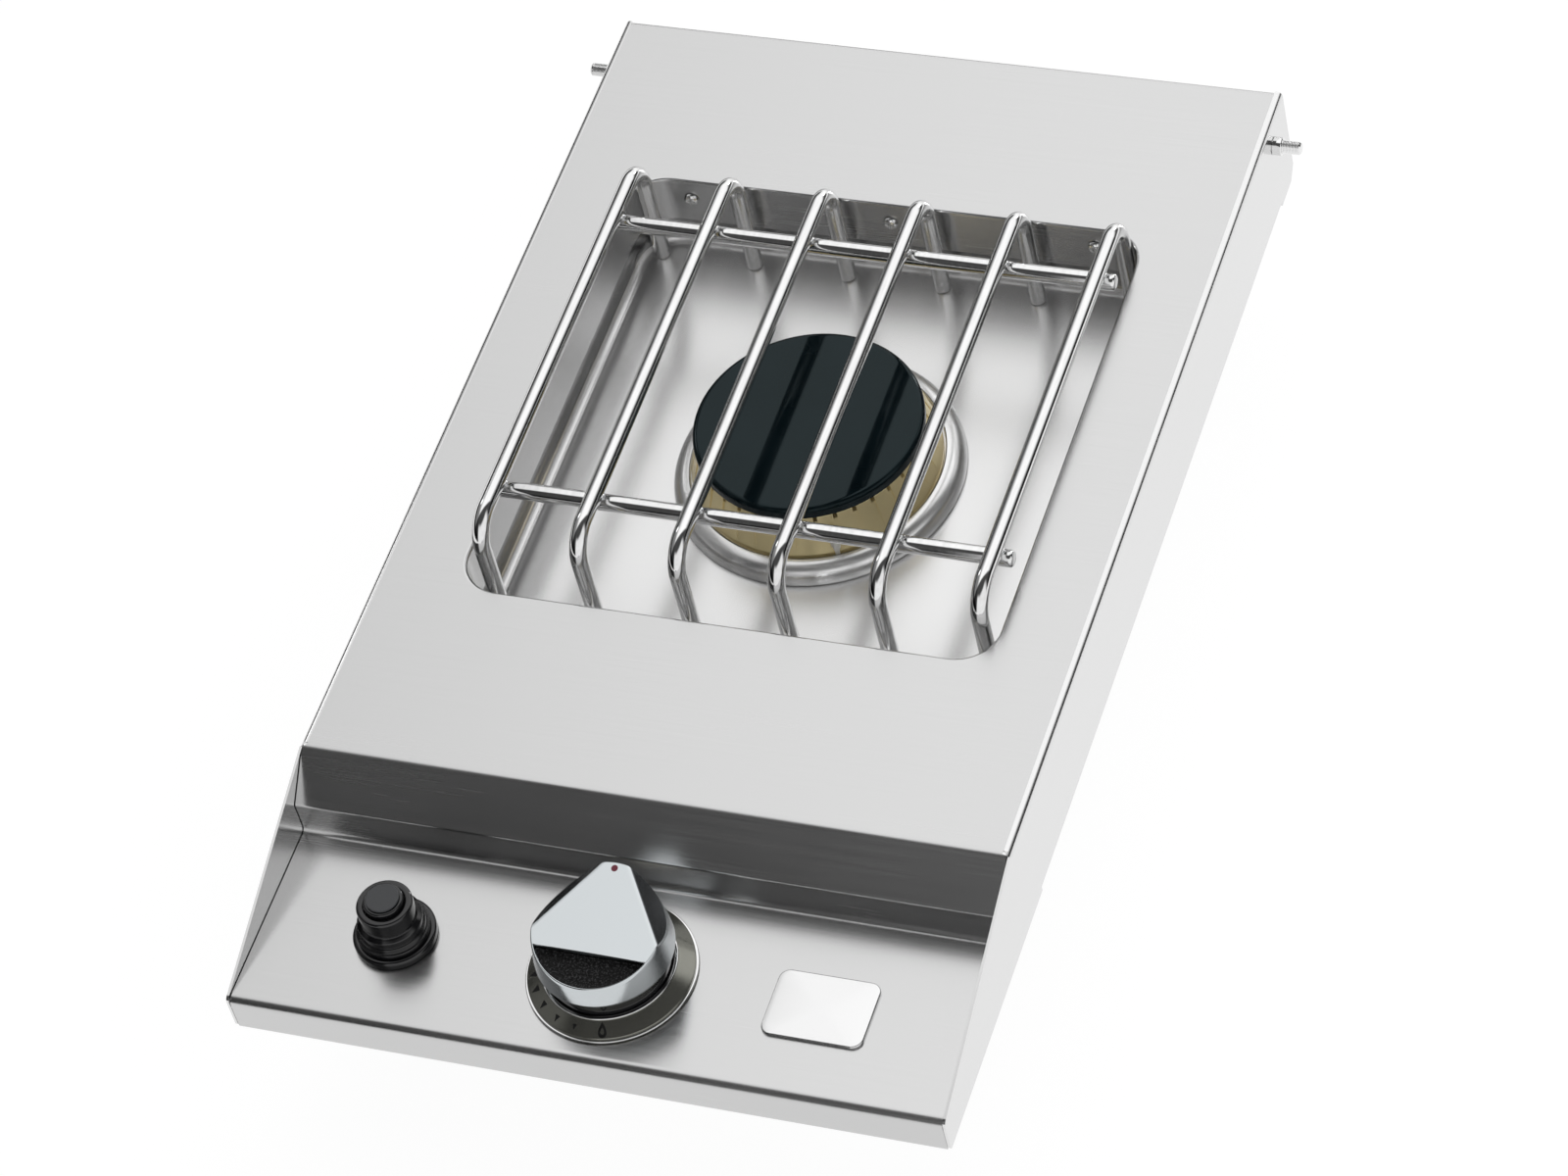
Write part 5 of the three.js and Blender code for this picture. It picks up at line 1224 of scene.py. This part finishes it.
def screw_head_island(length):
    """A pan-head screw along +Z, head down: dome with a cross recess, rim and shank."""
    angle = round_angles(64)
    rows = []
    for share in np.linspace(0, 1, 26):
        radius = share * (SCREW_HEAD - 0.15)
        near = np.minimum(np.abs(radius * np.cos(angle)), np.abs(radius * np.sin(angle)))
        cross = (np.clip((RECESS_HALF - near) / 0.3, 0, 1)
                 * np.clip((RECESS_REACH - radius) / 0.5, 0, 1))
        dome = SCREW_HEIGHT * (1 - DOME_FALL * share**4)
        rows.append(spun(radius, RECESS_DEPTH * cross - dome, angle))
    profile = [(SCREW_HEAD, -0.6), (SCREW_HEAD, -0.1), (SCREW_HEAD - 0.1, 0), (SCREW_SHANK, 0),
               (SCREW_SHANK, length - 0.4), (SCREW_SHANK - 0.4, length), (0, length)]
    return surface(rows + [spun(*corner, angle) for corner in profile])


def stud_island(side):
    """A threaded stud through the skirt: shoulder outside, thread as fine grooves."""
    crest = STUD_CREST
    thread = [corner for z in np.arange(4.8, 12.2, STUD_PITCH)
              for corner in ((crest, z), (STUD_ROOT, z + STUD_PITCH / 2))]
    profile = [(0, -9.2), (3.0, -9.2), (crest, -8.9), (crest, 0.3), (4.4, 0.3), (4.4, 4.1),
               (4.1, 4.4), (crest, 4.4), *thread, (crest, 12.4), (2.5, 13.2), (0, 13.2)]
    return lying(turned(profile, 0.0, sides=48), "+x" if side > 0 else "-x")


def plate_island(width, depth, corner):
    """A plate with round corners and a rounded upper edge. Its face is a very flat dome."""
    ring, way = rounded_ring(width / 2, depth / 2, corner, 10, 6)
    rows = [at_height(ring * share, PLATE_HEIGHT + PLATE_CROWN * (1 - share**2))
            for share in np.linspace(0.0, 0.9, 10)]
    rows += [at_height(ring - way * (PLATE_ROUND * (1 - math.sin(turn))),
                       PLATE_HEIGHT - PLATE_ROUND * (1 - math.cos(turn)))
             for turn in np.linspace(0, math.pi / 2, 6)]
    return surface([*rows, at_height(ring, 0.0), at_height(ring * 0.0, 0.0)])


def place_of(node):
    """The middle of a node's box in millimetres from the deck's front edge."""
    return (middle_of(node) - deck_origin) / MM


screw = lying(screw_head_island(SHEET + PAN_GAP + PAN_WALL + SCREW_END + SEAT), "+y")
for node in ("pan_screw_1", "pan_screw_2", "pan_screw_3"):
    x, _, z = place_of(node)
    place = (x, OPENING_FRONT + OPENING_LENGTH - SEAT, z)
    make_piece(f"cross_{node}", [moved(screw, place)], deck_origin, bright_metal, [node])
for side, node in ((1, "locating_stud_right"), (-1, "locating_stud_left")):
    _, y, z = place_of(node)
    stud = moved(stud_island(side), (side * half_deck, y, z))
    make_piece(f"threaded_{node}", [stud], deck_origin, bright_metal, [node])
plate = moved(plate_island(*PLATE_SIZE), PLATE_PLACE)
make_piece("blank_plate", [plate], deck_origin, plate_metal, [], body="chassis")
print("screws, studs and plate done")

# %% [markdown]
# ## The pieces that keep their form
#
# What is left is mostly hidden: valve, mixing bowl, venturi, nuts, leads. A copy of each packed
# piece gets merged facets, edges softened by a small bevel, and its finish. The two springs get
# no bevel.

# %% Dressed copies
FINISHES = {
    "stainless": steel_plain, "zinc_steel": zinc_metal, "burner_brass": brass_metal,
    "cast_alloy": cast_metal, "black_plastic": gloss_black, "cell_wrap": cell_blue,
    "electrode_ceramic": ceramic, "lead_rubber": lead_black,
}
FLEXING = {"valve_spring": ("knob_press", 3.0), "igniter_spring": ("igniter_press", 2.5)}
DRESSED_ANGLE = math.radians(32.0)


def dressed(node, bevel_mm=0.22):
    """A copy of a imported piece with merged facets, soft edges and its finish."""
    mesh = bpy.data.meshes.new(f"dressed_{node}")
    work = bmesh.new()
    work.from_mesh(frame["nodes"][node].data)
    bmesh.ops.remove_doubles(work, verts=work.verts, dist=0.001 * MM)
    bmesh.ops.dissolve_limit(work, angle_limit=math.radians(1.0), verts=work.verts,
                             edges=work.edges)
    write_smooth(work, mesh)
    if "custom_normal" in mesh.attributes:
        mesh.attributes.remove(mesh.attributes["custom_normal"])
    mesh.set_sharp_from_angle(angle=DRESSED_ANGLE)
    mesh.materials.clear()
    mesh.materials.append(FINISHES[slot_of_node[node]])
    piece = add_object(f"dressed_{node}", mesh)
    if bevel_mm:
        bevel = piece.modifiers.new("soft_edges", "BEVEL")
        bevel.width, bevel.segments, bevel.limit_method = bevel_mm * MM, 2, "ANGLE"
        bevel.angle_limit, bevel.harden_normals = DRESSED_ANGLE, True
    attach(piece, body_of_node[node])
    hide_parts(node)
    return piece


kept = [node for node in sorted(frame["nodes"]) if node not in remade and node not in FLEXING]
for node in kept:
    dressed(node)
for node, (joint, travel) in FLEXING.items():
    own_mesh(dressed(node, 0))
print("dressed:", len(kept))

# %% [markdown]
# ## Last step
#
# The script ends here.

# %% The end
print("script done")
